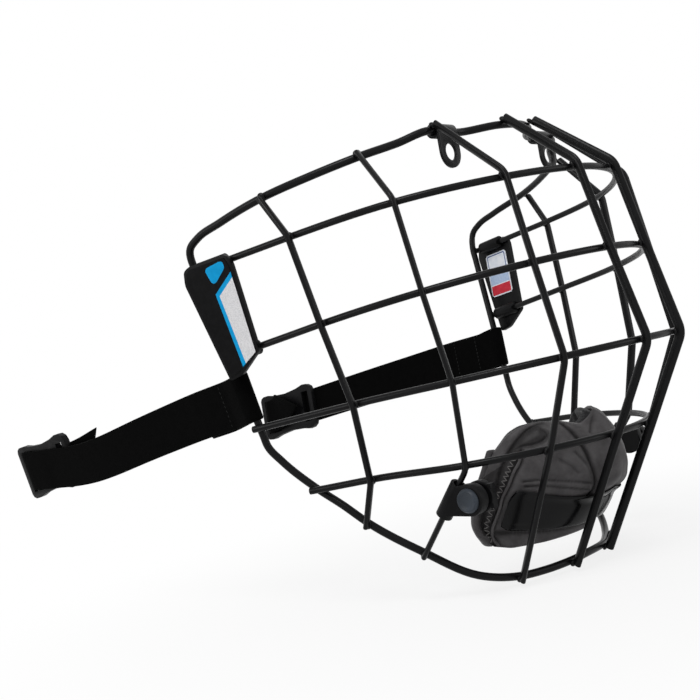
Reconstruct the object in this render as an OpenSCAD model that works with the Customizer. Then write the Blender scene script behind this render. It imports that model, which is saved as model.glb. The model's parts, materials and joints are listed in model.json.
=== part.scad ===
// Full-face wire cage for a hockey helmet, with side plates, chin cup and side straps.
// Millimetres. +Z is up and the front of the cage faces -Y. The wearer's left is +X.
// The origin lies midway between the two helmet screw holes.

/* [Wires] */
// Diameter of the rim wire that runs round the whole edge
rim_wire_d = 3.0; // [2.6:0.1:3.4]
// Diameter of the four horizontal wires
cross_wire_d = 2.6; // [2.2:0.1:3.0]
// Oval upright wires: size across the wire, seen from the front
upright_narrow = 2.2; // [1.8:0.1:2.6]
// Oval upright wires: size from the front to the back
upright_deep = 3.6; // [3.2:0.1:4.2]
// Radius of the bends in the upright wires
upright_bend = 8; // [6:0.5:9]
// How far an upright wire's end stands past the middle of the rim wire
wire_tip = 0.2; // [0:0.2:3]

/* [Cage size] */
// Width of the cage, between the middles of the rim wire's two sides
cage_w = 189.2; // [184:0.4:196]
// Depth of the cage, from the middle of the nose wire to the rim wire's rear side
cage_d = 137.2; // [133:0.4:142]
// Height of the cage, between the middles of the rim wire's top and bottom
cage_h = 169.4; // [165:0.4:175]

/* [Helmet tabs] */
// Distance between the two helmet screw holes
screw_spacing = 70; // [66:0.5:72]
// Diameter of a helmet screw hole
screw_hole_d = 6.4; // [5:0.1:7]
// Width of a tab
tab_w = 12; // [11:0.5:13]
// Thickness of the tab's sheet metal
tab_t = 1.2; // [1:0.1:1.6]
// Height of the rim wire above the screw holes
tab_drop = 8.2; // [8:0.2:11]

/* [Side plates] */
// Thickness of a plate
plate_t = 2.0; // [1.4:0.2:2.6]
// Length of a plate from its rear edge to its front edge
plate_len = 23; // [20:0.5:25]
// Height of a plate above the brow wire
plate_rise = 2.2; // [1.5:0.1:3]
// Depth of a plate below the eye wire
plate_drop = 8.8; // [6:0.2:9.2]
// Wall of the rolls that clip round the wires
roll_wall = 1.4; // [1:0.1:2]
// Length of a roll
roll_len = 13; // [8:1:14]
// Thickness of a printed label
label_t = 0.3; // [0.2:0.1:0.5]

/* [Straps] */
// Width of the webbing
webbing_w = 19; // [16:0.5:20]
// Thickness of the webbing
webbing_t = 1.5; // [1:0.1:1.8]
// Length of a strap from the rim wire to the bar of its buckle
strap_len = 165; // [130:1:180]
// Length of the doubled, stitched stretch beside the rim wire
strap_sewn = 28; // [20:1:40]
// Free tail of the right strap, from its buckle bar
tail_right = 40; // [20:1:80]
// Free tail of the left strap, from its buckle bar
tail_left = 16; // [10:1:40]
// Slope of the straps below level, in degrees
strap_slope = 7.2; // [5:0.2:10]

/* [Buckles] */
// Length of a buckle, over all
buckle_len = 42; // [38:1:46]
// Thickness of a buckle, and diameter of the bar that the webbing goes round
buckle_bar_d = 3.0; // [2.4:0.2:3.4]
// Width of a buckle's side rails at its two ends
buckle_rail = 3.2; // [2.6:0.2:3.6]

/* [Chin clips] */
// Length of the sleeve that grips the upright wire
clip_len = 14; // [12:1:18]
// Wall of the sleeve
clip_wall = 1.1; // [0.9:0.1:1.8]
// Thickness of the tongue that carries the snap
tongue_t = 4.1; // [3.8:0.1:4.6]
// Distance of the snap in front of the sleeve
snap_reach = 9.6; // [9:0.1:11]
// Diameter of the snap's cap
snap_cap_d = 8.8; // [8:0.2:10]
// Diameter of the snap's stud
snap_stud_d = 5; // [4:0.5:6]

/* [Chin cup] */
// Half of the cup's width
cup_half_w = 42; // [38:1:44]
// Depth of the cup in front of the snaps
cup_depth = 26.8; // [23:0.2:28]
// Reach of the cup's ends behind the snaps
cup_wing = 15.6; // [12:0.2:17]
// Height of the cup above the snaps
cup_above = 21; // [18:0.5:22]
// Depth of the cup below the snaps
cup_below = 26; // [23:0.5:27]
// Thickness of the moulded shell
cup_shell_t = 3.5; // [2.5:0.5:4.5]
// Thickness of the soft liner
cup_liner_t = 4.5; // [3:0.5:5]
// Depth of the sewn channels
channel_depth = 1.0; // [0.5:0.1:1.4]
// Thickness of the band across the front
band_t = 1.2; // [0.8:0.1:1.6]
// Height of the arms
arm_w = 11.5; // [9.5:0.5:12]
// Thickness of the arms
arm_t = 3; // [2.5:0.5:3.5]

/* [Clearances] */
// Gap that a weld fills where two wires cross
weld_gap = 0.05; // [0.02:0.01:0.1]
// Gap between pieces that lie together
fit_gap = 0.1; // [0.05:0.05:0.15]
// Gap between the webbing's loops and what they go round
loop_gap = 0.25; // [0.2:0.05:0.3]
// Radial gap of the chin clip on its wire
slide_gap = 0.2; // [0.15:0.05:0.3]
// Radial gap of the arm on the snap's stud
pivot_gap = 0.05; // [0.03:0.01:0.08]

/* [Hidden] */
RIGHT = -1;
LEFT = 1;
wire_sides = 10;
round_fn = 48;
black_wire = "#17181a";
black_plastic = "#1d1e20";
black_webbing = "#111214";
charcoal = "#35363a";

rim_r = rim_wire_d / 2;
cross_r = cross_wire_d / 2;
upright_r = upright_deep / 2;

// Vector helpers.
function unit(v) = v / norm(v);
function mixed(a, b, t) = a + (b - a) * t;
function flipped(p, side) = [p.x * side, p.y, p.z];
function squared_off(v, axis) = unit(v - axis * (v * axis));

// The cage's shape is given as points of a cage of the drawn size. They spread with the cage's
// width, depth and height, while the top of the rim wire stays at the helmet tabs.
drawn_size = [189.2, 137.2, 169.4];
rim_top_z = 9.4;
cage_scale = [cage_w / drawn_size.x, cage_d / drawn_size.y, cage_h / drawn_size.z];
function cage_height(z) = rim_top_z + (z - rim_top_z) * cage_scale.z;
function cage_point(p) = [p.x * cage_scale.x, p.y * cage_scale.y, cage_height(p.z)];

// Unit direction of a smooth curve at one of its points. A short side counts more.
function heading(pts, i, closed) =
    let (n = len(pts))
    let (before = closed ? pts[(i + n - 1) % n] : pts[max(i - 1, 0)])
    let (after = closed ? pts[(i + 1) % n] : pts[min(i + 1, n - 1)])
    let (back = pts[i] - before, ahead = after - pts[i])
    norm(back) == 0 ? unit(ahead) : norm(ahead) == 0 ? unit(back) :
    unit(unit(back) / norm(back) + unit(ahead) / norm(ahead));

// A smooth curve through all the points.
function curve(pts, steps, closed = false) =
    let (n = len(pts))
    concat(
        [for (i = [0:(closed ? n : n - 1) - 1], k = [0:steps - 1])
            let (a = pts[i], b = pts[(i + 1) % n], t = k / steps)
            let (span = norm(b - a))
            let (u = heading(pts, i, closed) * span, v = heading(pts, (i + 1) % n, closed) * span)
            a * (2 * t * t * t - 3 * t * t + 1) + u * (t * t * t - 2 * t * t + t)
            + b * (3 * t * t - 2 * t * t * t) + v * (t * t * t - t * t)],
        closed ? [] : [pts[n - 1]]);

// A chain of straight runs with a round bend at each inner point.
function turn_at(a, b, c) = acos(min(1, unit(b - a) * unit(c - b)));
function bend_len(a, b, c, radius) =
    min(radius * tan(turn_at(a, b, c) / 2), 0.45 * norm(b - a), 0.45 * norm(c - b));
function bent(pts, radius, steps) = concat(
    [pts[0]],
    [for (i = [1:len(pts) - 2])
        let (a = pts[i - 1], b = pts[i], c = pts[i + 1])
        let (reach = bend_len(a, b, c, radius))
        let (p = b - unit(b - a) * reach, q = b + unit(c - b) * reach)
        for (k = [0:steps])
            let (t = k / steps)
            p * (1 - t) * (1 - t) + b * 2 * t * (1 - t) + q * t * t],
    [pts[len(pts) - 1]]);

// One ring of an oval wire. out is the direction of the oval's half size a.
function ring(centre, ahead, out, a, b) =
    let (o = squared_off(out, ahead))
    let (s = cross(o, ahead))
    [for (k = [0:wire_sides - 1])
        let (turn = 360 * k / wire_sides)
        centre + o * a * cos(turn) + s * b * sin(turn)];

// A solid wire along a path, open or closed.
module wire(path, out, a, b, closed = false) {
    n = len(path);
    m = wire_sides;
    rings = [for (i = [0:n - 1]) each ring(path[i], heading(path, i, closed), out, a, b)];
    last = closed ? n - 1 : n - 2;
    skin = [for (i = [0:last], k = [0:m - 1])
        let (p = i * m + k, q = i * m + (k + 1) % m)
        let (r = ((i + 1) % n) * m + (k + 1) % m, s = ((i + 1) % n) * m + k)
        each [[p, s, r], [p, r, q]]];
    ends = closed ? [] : concat(
        [for (k = [1:m - 2]) [0, k, k + 1]],
        [for (k = [1:m - 2]) [(n - 1) * m, (n - 1) * m + k + 1, (n - 1) * m + k]]);
    polyhedron(points = rings, faces = concat(skin, ends), convexity = 10);
}

// Moves a shape from its own axes to a place where its X lies along ex and its Y along ey.
module placed(origin, ex, ey) {
    ez = cross(ex, ey);
    translate(origin)
        rotate([atan2(ey.z, ez.z), -asin(ex.z), atan2(ex.y, ex.x)])
            children();
}

// The shape as drawn for the left side, or mirrored for the right side.
module on_side(side) {
    mirror([side == RIGHT ? 1 : 0, 0, 0]) children();
}

// The rim wire. Its rear side is straight between these two ends.
side_top = cage_point([93.2, 84.8, -26]);
side_low = cage_point([84.2, 71.4, -96.5]);
side_dir = unit(side_top - side_low);
function rim_side_at(z) =
    mixed(side_top, side_low, (side_top.z - z) / (side_top.z - side_low.z));

screw_x = screw_spacing / 2;
tab_seat_y = tab_t / 2 + fit_gap + rim_r;
tab_seat_half = tab_w / 2 + 1;

// Left half of the rim wire, from the top of the mirror plane round to its bottom.
rim_centre_top = 1;
rim_eye_top = 5;
rim_cheek_top = 7;
rim_temple_top = 9;
rim_jaw = 18;
rim_temple_low = 20;
rim_cheek_low = 21;
rim_eye_low = 23;
rim_centre_low = 25;
rim_half = [
    cage_point([0, -9.5, rim_top_z]),
    cage_point([9.5, -7.5, rim_top_z - 0.1]),
    [screw_x - tab_seat_half - 1.6, tab_seat_y, tab_drop],
    [screw_x - tab_seat_half, tab_seat_y, tab_drop],
    [screw_x + tab_seat_half, tab_seat_y, tab_drop],
    [screw_x + tab_seat_half + 0.5, tab_seat_y, tab_drop],
    cage_point([54, 9.5, 5]),
    cage_point([68, 17.5, 1.6]),
    cage_point([79, 31, -2]),
    cage_point([88, 48, -6]),
    cage_point([92, 68.5, -11]),
    cage_point([94, 79.5, -14.5]),
    cage_point([94.6, 83.8, -17.6]),
    side_top,
    mixed(side_top, side_low, 0.08),
    mixed(side_top, side_low, 0.94),
    side_low,
    cage_point([81.6, 67.8, -103]),
    cage_point([76, 58, -114.8]),
    cage_point([72.6, 49, -122.5]),
    cage_point([68.6, 41, -130.7]),
    cage_point([59, 25.5, -144]),
    cage_point([47, 11.5, -155.8]),
    cage_point([34, 3.2, -159.6]),
    cage_point([24, -1.8, -160]),
    cage_point([12.3, -6.6, -159.4]),
    cage_point([0, -8, -159])];
rim_last = len(rim_half) - 1;
rim_loop = concat(rim_half, [for (i = [rim_last - 1:-1:1]) flipped(rim_half[i], RIGHT)]);

// The horizontal wires. Each lies in a plane that falls towards the back.
// rise is its height at y = 0 and fall is its drop for each millimetre further back.
cross_rise = [-18, -50.5, -83.2, -113];
cross_fall = [0.107, 0.125, 0.071, 0.023];
// Where each wire stands, in plan: at the middle, then behind the centre, eye, cheek and
// temple uprights.
cross_plan = [
    [[0, -37.5], [13.5, -36], [42.6, -24.5], [71.7, 1.5], [86, 38.5]],
    [[0, -44.5], [13.5, -43], [42.6, -30], [68.7, -2], [82, 33.8]],
    [[0, -52.5], [13, -50.8], [42, -35.4], [64.6, -5.2], [77, 29.8]],
    [[0, -34.5], [13.2, -33], [39, -21.2], [59.2, 0], [71, 33.3]]];
// How far each horizontal wire's ends stand past the middle of the rim wire.
cross_tip = [1.6, 1.6, 1.2, 1];
function cross_z(level, y) = cage_height(cross_rise[level]) - cross_fall[level] * y;
function cross_station(level, i) =
    let (p = cage_point([cross_plan[level][i].x, cross_plan[level][i].y, 0]))
    [p.x, p.y, cross_z(level, p.y)];

// Where a horizontal wire crosses the outside of the rim wire.
cross_on_rim_gap = rim_r + cross_r + weld_gap;
function cross_rim_point(level) =
    level == 3 ? rim_half[rim_jaw] : rim_side_at(cross_z(level, side_top.y - 4));
function cross_rim_dir(level) =
    level == 3 ? heading(rim_half, rim_jaw, false) : -side_dir;
function cross_seat(level) =
    let (rim = cross_rim_point(level), front = cross_station(level, 4))
    let (out = unit(cross(unit(front - rim), cross_rim_dir(level))))
    rim + out * cross_on_rim_gap * sign(out.x);
function cross_leg(level) = unit(cross_seat(level) - cross_station(level, 4));
function cross_half(level) = concat(
    [for (i = [0:4]) cross_station(level, i)],
    [mixed(cross_station(level, 4), cross_seat(level), 0.35),
     cross_seat(level),
     cross_seat(level) + cross_leg(level) * cross_tip[level]]);
function cross_route(level) =
    let (half = cross_half(level))
    concat([for (i = [len(half) - 1:-1:1]) flipped(half[i], RIGHT)], half);

// The upright wires lie on the outside of the horizontal wires and of the rim wire.
TEMPLE = 4;
CHEEK = 3;
EYE = 2;
CENTRE = 1;
rim_top_of = [0, rim_centre_top, rim_eye_top, rim_cheek_top, rim_temple_top];
rim_low_of = [0, rim_centre_low, rim_eye_low, rim_cheek_low, rim_temple_low];
head_centre = [0, 75, -70];
function upright_core(post) = concat(
    [rim_half[rim_top_of[post]]],
    [for (level = [0:3]) cross_station(level, post)],
    [rim_half[rim_low_of[post]]]);
function crossed_dir(post, i) =
    i == 0 ? heading(rim_half, rim_top_of[post], false) :
    i == 5 ? heading(rim_half, rim_low_of[post], false) :
    heading(cross_half(i - 1), post, false);
function upright_out(post, i) =
    let (core = upright_core(post))
    let (run = unit((i > 0 ? unit(core[i] - core[i - 1]) : [0, 0, 0])
        + (i < 5 ? unit(core[i + 1] - core[i]) : [0, 0, 0])))
    let (n = unit(cross(crossed_dir(post, i), run)))
    let (away = core[i] - head_centre)
    n * (n * away > 0 ? 1 : -1);
function upright_point(post, i) =
    let (core = upright_core(post))
    let (under = (i == 0 || i == 5) ? rim_r : cross_r)
    let (seat = core[i] + upright_out(post, i) * (under + upright_r + weld_gap))
    (i == 0 || i == 5) ? seat :
    let (before = core[i - 1], here = core[i], after = core[i + 1])
    let (reach = bend_len(before, here, after, upright_bend))
    seat - (unit(after - here) - unit(here - before)) * reach / 4;
// The cheek wire's lowest run keeps one x, so that both chin clips slide the same way. For this
// its end moves a little along the rim wire.
function upright_corner(post, i) =
    let (p = upright_point(post, i), along = crossed_dir(post, i))
    post == CHEEK && i == 5 ? p + along * (upright_point(post, 4).x - p.x) / along.x : p;
function upright_route(post) =
    let (pts = [for (i = [0:5]) upright_corner(post, i)])
    concat(
        [pts[0] + unit(pts[0] - pts[1]) * wire_tip],
        [for (i = [1:4]) pts[i]],
        [pts[5] + unit(pts[5] - pts[4]) * wire_tip]);

module rim_wire() {
    color(black_wire)
        wire(curve(rim_loop, 3, true), [0.3, -0.2, 1], rim_r, rim_r, true);
}

module cross_wire(level) {
    color(black_wire)
        wire(curve(cross_route(level), 4), [0, 0, 1], cross_r, cross_r);
}

module upright_wire(post, side) {
    out = upright_out(post, 2);
    route = [for (p = bent(upright_route(post), upright_bend, 4)) flipped(p, side)];
    color(black_wire)
        wire(route, flipped(out, side), upright_r, upright_narrow / 2);
}

// A tab of folded sheet metal: a flat ear with the screw hole, and a roll round the rim wire.
roll_inner_r = rim_r + fit_gap;
module helmet_tab(side) {
    color(black_wire)
        translate([side * screw_x, 0, 0])
            difference() {
                union() {
                    rotate([90, 0, 0])
                        cylinder(d = tab_w, h = tab_t, center = true, $fn = round_fn);
                    translate([-tab_w / 2, -tab_t / 2, 0])
                        cube([tab_w, tab_t, tab_drop]);
                    translate([0, tab_seat_y, tab_drop])
                        rotate([0, 90, 0])
                            cylinder(r = roll_inner_r + tab_t, h = tab_w, center = true, $fn = round_fn);
                }
                rotate([90, 0, 0])
                    cylinder(d = screw_hole_d, h = 3 * tab_t, center = true, $fn = round_fn);
                translate([0, tab_seat_y, tab_drop])
                    rotate([0, 90, 0])
                        cylinder(r = roll_inner_r, h = tab_w + 2, center = true, $fn = round_fn);
            }
}

// The side plate lies flat on the legs of the brow wire and the eye wire.
brow_seat = cross_seat(0);
eye_seat = cross_seat(1);
plate_ahead = -cross_leg(0);
plate_up = squared_off(brow_seat - eye_seat, plate_ahead);
eye_drop = -(eye_seat - brow_seat) * plate_up;
eye_shift = (eye_seat - brow_seat) * plate_ahead;
eye_tilt = asin(-cross_leg(1) * plate_up);
plate_rear = -1.8;
plate_front = plate_rear + plate_len;
plate_toe = 7;
plate_z = cross_r + fit_gap + 0.3;
roll_start = plate_front - roll_len - 4;
// The lower roll starts clear of the rim wire, which passes the plate there.
eye_roll_start = roll_start - eye_shift + 2.1;
plate_corner = 4;

function plate_outline(inset) = [
    [plate_rear + inset, -plate_corner],
    [plate_rear + plate_corner * 0.3 + inset, plate_rise - plate_corner * 0.3 - inset],
    [plate_rear + plate_corner, plate_rise - inset],
    [plate_front - 2.5, plate_rise - inset],
    [plate_front - 0.8 - inset, plate_rise - 1.4 - inset],
    [plate_front - inset, plate_rise - 4 - inset],
    [plate_front - inset, -eye_drop - 1],
    [plate_front - 10.2 - inset, -eye_drop - plate_drop + 1 + inset],
    [plate_rear + plate_toe + inset, -eye_drop - plate_drop + inset]];

module roll(start) {
    translate([start, 0, 0])
        rotate([0, 90, 0])
            children();
}

module side_plate(side) {
    color(black_plastic)
        on_side(side)
            placed(brow_seat, plate_ahead, plate_up)
                difference() {
                    union() {
                        translate([0, 0, -plate_z - plate_t])
                            linear_extrude(plate_t) polygon(plate_outline(0));
                        roll(roll_start)
                            cylinder(r = cross_r + fit_gap + roll_wall, h = roll_len, $fn = round_fn);
                        translate([eye_shift, -eye_drop, 0])
                            rotate([0, 0, eye_tilt])
                                roll(eye_roll_start)
                                    cylinder(r = cross_r + fit_gap + roll_wall, h = roll_len,
                                        $fn = round_fn);
                    }
                    roll(roll_start - 1)
                        cylinder(r = cross_r + fit_gap, h = roll_len + 2, $fn = round_fn);
                    translate([eye_shift, -eye_drop, 0])
                        rotate([0, 0, eye_tilt])
                            roll(eye_roll_start - 1)
                                cylinder(r = cross_r + fit_gap, h = roll_len + 2, $fn = round_fn);
                }
}

// A printed label on the outer face, inset from the plate's edge.
label_inset = 1.2;
module label(side) {
    color("#9fa6ad")
        on_side(side)
            placed(brow_seat, plate_ahead, plate_up)
                translate([0, 0, -plate_z - plate_t - label_t])
                    linear_extrude(label_t) polygon(plate_outline(label_inset));
}

// A sticker on the inner face, between the two rolls.
sticker_len = 14.5;
sticker_tall = 21.5;
sticker_top = cross_r + fit_gap + roll_wall + 1.5;
module inner_sticker(side) {
    color("#d9dde2")
        on_side(side)
            placed(brow_seat, plate_ahead, plate_up)
                translate([plate_front - sticker_len - 3, -sticker_top - sticker_tall, -plate_z])
                    cube([sticker_len, sticker_tall, label_t]);
}

// The straps. Their own X runs back along the webbing, Y inwards and Z up.
strap_top_gap = 0.5;
strap_z = cross_z(2, side_low.y) + cross_r + strap_top_gap + webbing_w / 2;
strap_hinge = rim_side_at(strap_z);
strap_back = unit([-0.02, cos(strap_slope), -sin(strap_slope)]);
strap_up = squared_off(side_dir, strap_back);
strap_in = cross(strap_up, strap_back);
loop_in_r = rim_r + loop_gap;
loop_slack = 1.2;
buckle_bar_r = buckle_bar_d / 2;
fold_in_r = buckle_bar_r + loop_gap;

// The loop stands square to the wire, so it leans a little to the sloping webbing. A slot-shaped
// block, round about the wire at its front.
loop_lean = asin(side_dir * strap_back);
module obround(r, slack, tall) {
    translate([0, 0, webbing_w / 2])
        rotate([0, loop_lean, 0]) {
            for (end = [0, 1])
                translate([end * slack, 0, 0])
                    cylinder(r = r, h = tall, center = true, $fn = round_fn);
            translate([0, -r, -tall / 2]) cube([slack, 2 * r, tall]);
        }
}

// The webbing: a loop with a wedge behind it, the sewn stretch, the single run, the fold round
// the buckle's bar and the free tail. Pieces that meet overlap a little.
module webbing(tail) {
    wedge = loop_in_r + webbing_t;
    wedge_end = 9;
    lap = 0.3;
    fold_out_r = fold_in_r + webbing_t;
    difference() {
        union() {
            obround(wedge, loop_slack, webbing_w);
            linear_extrude(webbing_w)
                polygon([[0, wedge], [loop_slack, wedge], [wedge_end, webbing_t],
                    [wedge_end, -webbing_t], [loop_slack, -wedge], [0, -wedge]]);
            translate([wedge_end - 3, -webbing_t, 0])
                cube([strap_sewn - wedge_end + 3, 2 * webbing_t, webbing_w]);
        }
        obround(loop_in_r, loop_slack, webbing_w + 4);
    }
    translate([strap_sewn - 3, -webbing_t, 0])
        cube([strap_len - strap_sewn + 3 + lap, webbing_t, webbing_w]);
    translate([strap_len, fold_in_r, 0])
        difference() {
            cylinder(r = fold_out_r, h = webbing_w, $fn = round_fn);
            cylinder(r = fold_in_r, h = webbing_w, $fn = round_fn);
            translate([-2 * fold_out_r, -2 * fold_out_r, 0])
                cube([2 * fold_out_r, 4 * fold_out_r, webbing_w]);
        }
    translate([strap_len - tail, 2 * fold_in_r, 0])
        cube([tail + lap, webbing_t, webbing_w]);
}

module strap(side, tail) {
    color(black_webbing)
        on_side(side)
            placed(strap_hinge, strap_back, strap_in)
                translate([0, 0, -webbing_w / 2])
                    webbing(tail);
}

// The buckle: a waisted flat frame in the fold of the webbing. The webbing goes round its one
// round bar. The window behind the bar is open, and an arch is cut through the middle.
rail_in = webbing_w / 2 + loop_gap;
buckle_end = rail_in + buckle_rail;
buckle_back = fold_in_r + webbing_t + loop_gap + buckle_bar_d;
buckle_front = buckle_back - buckle_len;
buckle_mid = (buckle_back + buckle_front) / 2;
function buckle_edge(end) = [
    [buckle_back, end * (buckle_end - 2.4)],
    [buckle_back - 0.8, end * (buckle_end - 0.9)],
    [buckle_back - 2.6, end * buckle_end],
    [buckle_back - 6.5, end * buckle_end],
    [buckle_back - 11.5, end * (buckle_end - 1.1)],
    [buckle_mid, end * (buckle_end - 1.9)],
    [buckle_front + 11.5, end * (buckle_end - 1.1)],
    [buckle_front + 6.5, end * buckle_end],
    [buckle_front + 3.2, end * (buckle_end - 0.3)],
    [buckle_front + 0.9, end * (buckle_end - 1.8)],
    [buckle_front, end * (buckle_end - 4)]];
module buckle(side) {
    color(black_plastic)
        on_side(side)
            placed(strap_hinge, strap_back, strap_in)
                translate([strap_len, fold_in_r, 0]) {
                    cylinder(r = buckle_bar_r, h = 2 * rail_in + buckle_rail, center = true,
                        $fn = round_fn);
                    rotate([90, 0, 0])
                        linear_extrude(buckle_bar_d, center = true)
                            difference() {
                                polygon(concat(buckle_edge(-1),
                                    [for (i = [10:-1:0]) buckle_edge(1)[i]]));
                                translate([-7, -rail_in])
                                    square([buckle_back - buckle_bar_d + 7, 2 * rail_in]);
                                translate([buckle_front + 3, -rail_in + 1])
                                    square([5, 2 * rail_in - 2]);
                                translate([buckle_mid - 5.5, -6])
                                    square([8, 6]);
                                translate([buckle_mid - 1.5, 0])
                                    circle(r = 4, $fn = round_fn);
                            }
                }
}

// The chin clips ride on the straight lowest run of the cheek wires.
clip_below_bend = 13.5;
run_top = upright_corner(CHEEK, 4);
run_low = upright_corner(CHEEK, 5);
clip_down = unit(run_low - run_top);
clip_centre = run_top + clip_down * clip_below_bend;
clip_in_r = upright_r + slide_gap;
clip_out_r = clip_in_r + clip_wall;
// The tongue's outer face is nearly level with the sleeve, and the snap's cap lies on it.
tongue_out = clip_out_r - 0.2;
tongue_in = tongue_t - tongue_out;
tongue_mid = tongue_out - tongue_t / 2;
tongue_root = clip_len / 2 - 0.4;
cap_x = tongue_out + fit_gap;
snap_centre = clip_centre + [0, -snap_reach, 0];
snap_stud_r = snap_stud_d / 2;
tongue_r = snap_cap_d / 2 + 1.2;
boss_r = snap_stud_r + 1.5;
boss_reach = clip_out_r + fit_gap;

module across(place, length, r) {
    translate(place)
        rotate([0, 90, 0])
            cylinder(r = r, h = length, center = true, $fn = round_fn);
}

module chin_clip(side) {
    color(black_plastic)
        on_side(side)
            difference() {
                union() {
                    placed(clip_centre, [1, 0, 0], cross(clip_down, [1, 0, 0]))
                        cylinder(r = clip_out_r, h = clip_len, center = true, $fn = round_fn);
                    across(snap_centre + [tongue_mid, 0, 0], tongue_t, tongue_r);
                    across(snap_centre - [boss_reach / 2, 0, 0], boss_reach, boss_r);
                    placed(clip_centre, [1, 0, 0], [0, 1, 0])
                        rotate([90, 0, 90])
                            translate([0, 0, -tongue_in])
                                linear_extrude(tongue_t)
                                    polygon([[-snap_reach, tongue_r], [-snap_reach, -tongue_r],
                                        tongue_root * [clip_down.y, clip_down.z],
                                        -tongue_root * [clip_down.y, clip_down.z]]);
                }
                placed(clip_centre, [1, 0, 0], cross(clip_down, [1, 0, 0]))
                    cylinder(r = clip_in_r, h = clip_len * 2, center = true, $fn = round_fn);
                across(snap_centre, 4 * boss_reach, snap_stud_r + fit_gap);
            }
}

// The snap: a cap outside the tongue, a stud through tongue and arm, and a small inner head.
cap_t = 1.8;
head_t = 1.2;
head_r = snap_stud_r + 0.8;
arm_x = -boss_reach - fit_gap - arm_t;
head_x = arm_x - fit_gap - head_t;
module snap(side) {
    color("#5d6a78")
        on_side(side)
            translate(snap_centre)
                rotate([0, 90, 0]) {
                    translate([0, 0, cap_x])
                        cylinder(d1 = snap_cap_d, d2 = snap_cap_d - 2, h = cap_t, $fn = round_fn);
                    translate([0, 0, head_x])
                        cylinder(r = snap_stud_r, h = cap_x - head_x + 0.4, $fn = round_fn);
                    translate([0, 0, head_x])
                        cylinder(r = head_r, h = head_t, $fn = round_fn);
                }
}

// The chin cup. u goes from -1 at the right end to 1 at the left end, and v goes from 0 at
// the top edge to 1 at the bottom edge.
// Share of the full reach in front of the snaps, of the full reach behind them and of the
// full width, all from the top edge down. The front steps back under its bulge.
cup_reach = [[0, 0.71], [0.07, 0.88], [0.18, 0.98], [0.3, 1], [0.42, 0.93], [0.48, 0.8],
    [0.54, 0.6], [0.6, 0.55], [0.79, 0.37], [0.9, 0.26], [1, 0.16]];
cup_back_reach = [[0, 0.5], [0.3, 0.72], [0.54, 0.91], [0.79, 1], [0.9, 0.95], [1, 0.7]];
cup_width = [[0, 0.8], [0.18, 0.88], [0.3, 0.92], [0.54, 1], [0.79, 1], [1, 0.92]];
// How far the top edge dips and the bottom edge rises, from the middle out to the ends.
cup_top_dip = [[0, 0], [0.12, 2.5], [0.25, 4.5], [0.45, 2], [0.65, 1], [0.8, 1.5], [0.9, 3.5], [1, 9]];
cup_low_rise = [[0, 0], [0.5, 0], [0.85, 1], [1, 3]];
cup_round = 0.43;
cup_turn = 0.12;
cup_sag = 0.16;
// Sewn channels run down the cup at these places across it.
channels = [0.3, 0.62];
channel_half = 0.04;
function channel_at(u) = max([for (c = channels) max(0, 1 - abs(abs(u) - c) / channel_half)]);
function edge_taper(v) = min(1, 0.55 + 3 * min(v, 1 - v));
// Plan shape from the nose at 0 to the end at 1, and its slope.
function plan(a) = cup_turn * pow(a, 8) + (1 - cup_turn)
    * (sqrt(cup_round * cup_round + a * a) - cup_round)
    / (sqrt(cup_round * cup_round + 1) - cup_round);
function plan_slope(a) = cup_turn * 8 * pow(a, 7) + (1 - cup_turn)
    * a / sqrt(cup_round * cup_round + a * a) / (sqrt(cup_round * cup_round + 1) - cup_round);
function cup_point(u, v, inset) =
    let (f = sin(90 * u), a = abs(f))
    let (half_w = cup_half_w * lookup(v, cup_width))
    let (front = cup_depth * lookup(v, cup_reach))
    let (long = front + cup_wing * lookup(v, cup_back_reach))
    let (outward = unit([long * plan_slope(a) * sign(f), -half_w, 0]))
    let (top = snap_centre.z + cup_above - lookup(a, cup_top_dip))
    let (low = snap_centre.z - cup_below + lookup(a, cup_low_rise))
    let (down = v + cup_sag * (1 - 1.3 * a * a) * sin(180 * v))
    [half_w * f, snap_centre.y - front + long * plan(a), mixed(top, low, down)]
        - outward * inset;

// A curved padded sheet between two insets, closed round its edges.
cup_us = [-1, -0.92, -0.8, -0.7, -0.62, -0.54, -0.46, -0.38, -0.3, -0.22, -0.11, 0,
    0.11, 0.22, 0.3, 0.38, 0.46, 0.54, 0.62, 0.7, 0.8, 0.92, 1];
cup_vs = [0, 0.07, 0.18, 0.3, 0.42, 0.48, 0.54, 0.6, 0.7, 0.79, 0.9, 1];
module padded_sheet(us, vs, front, rear, channel) {
    nu = len(us);
    nv = len(vs);
    mid = (front + rear) / 2;
    pts = concat(
        [for (v = vs, u = us)
            cup_point(u, v, mixed(mid, front, edge_taper(v)) + channel * channel_at(u))],
        [for (v = vs, u = us) cup_point(u, v, mixed(mid, rear, edge_taper(v)))]);
    back = nu * nv;
    front_faces = [for (j = [0:nv - 2], i = [0:nu - 2])
        let (a = j * nu + i, b = a + 1, c = a + nu + 1, d = a + nu)
        each [[a, b, c], [a, c, d]]];
    rear_faces = [for (f = front_faces) [f[0] + back, f[2] + back, f[1] + back]];
    top_and_low = [for (i = [0:nu - 2], j = [0, nv - 1])
        let (a = j * nu + i, b = a + 1)
        each j == 0 ? [[a, a + back, b + back], [a, b + back, b]]
            : [[a, b + back, a + back], [a, b, b + back]]];
    sides = [for (j = [0:nv - 2], i = [0, nu - 1])
        let (a = j * nu + i, b = a + nu)
        each i == 0 ? [[a, b + back, a + back], [a, b, b + back]]
            : [[a, a + back, b + back], [a, b + back, b]]];
    polyhedron(points = pts, faces = concat(front_faces, rear_faces, top_and_low, sides),
        convexity = 8);
}

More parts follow.
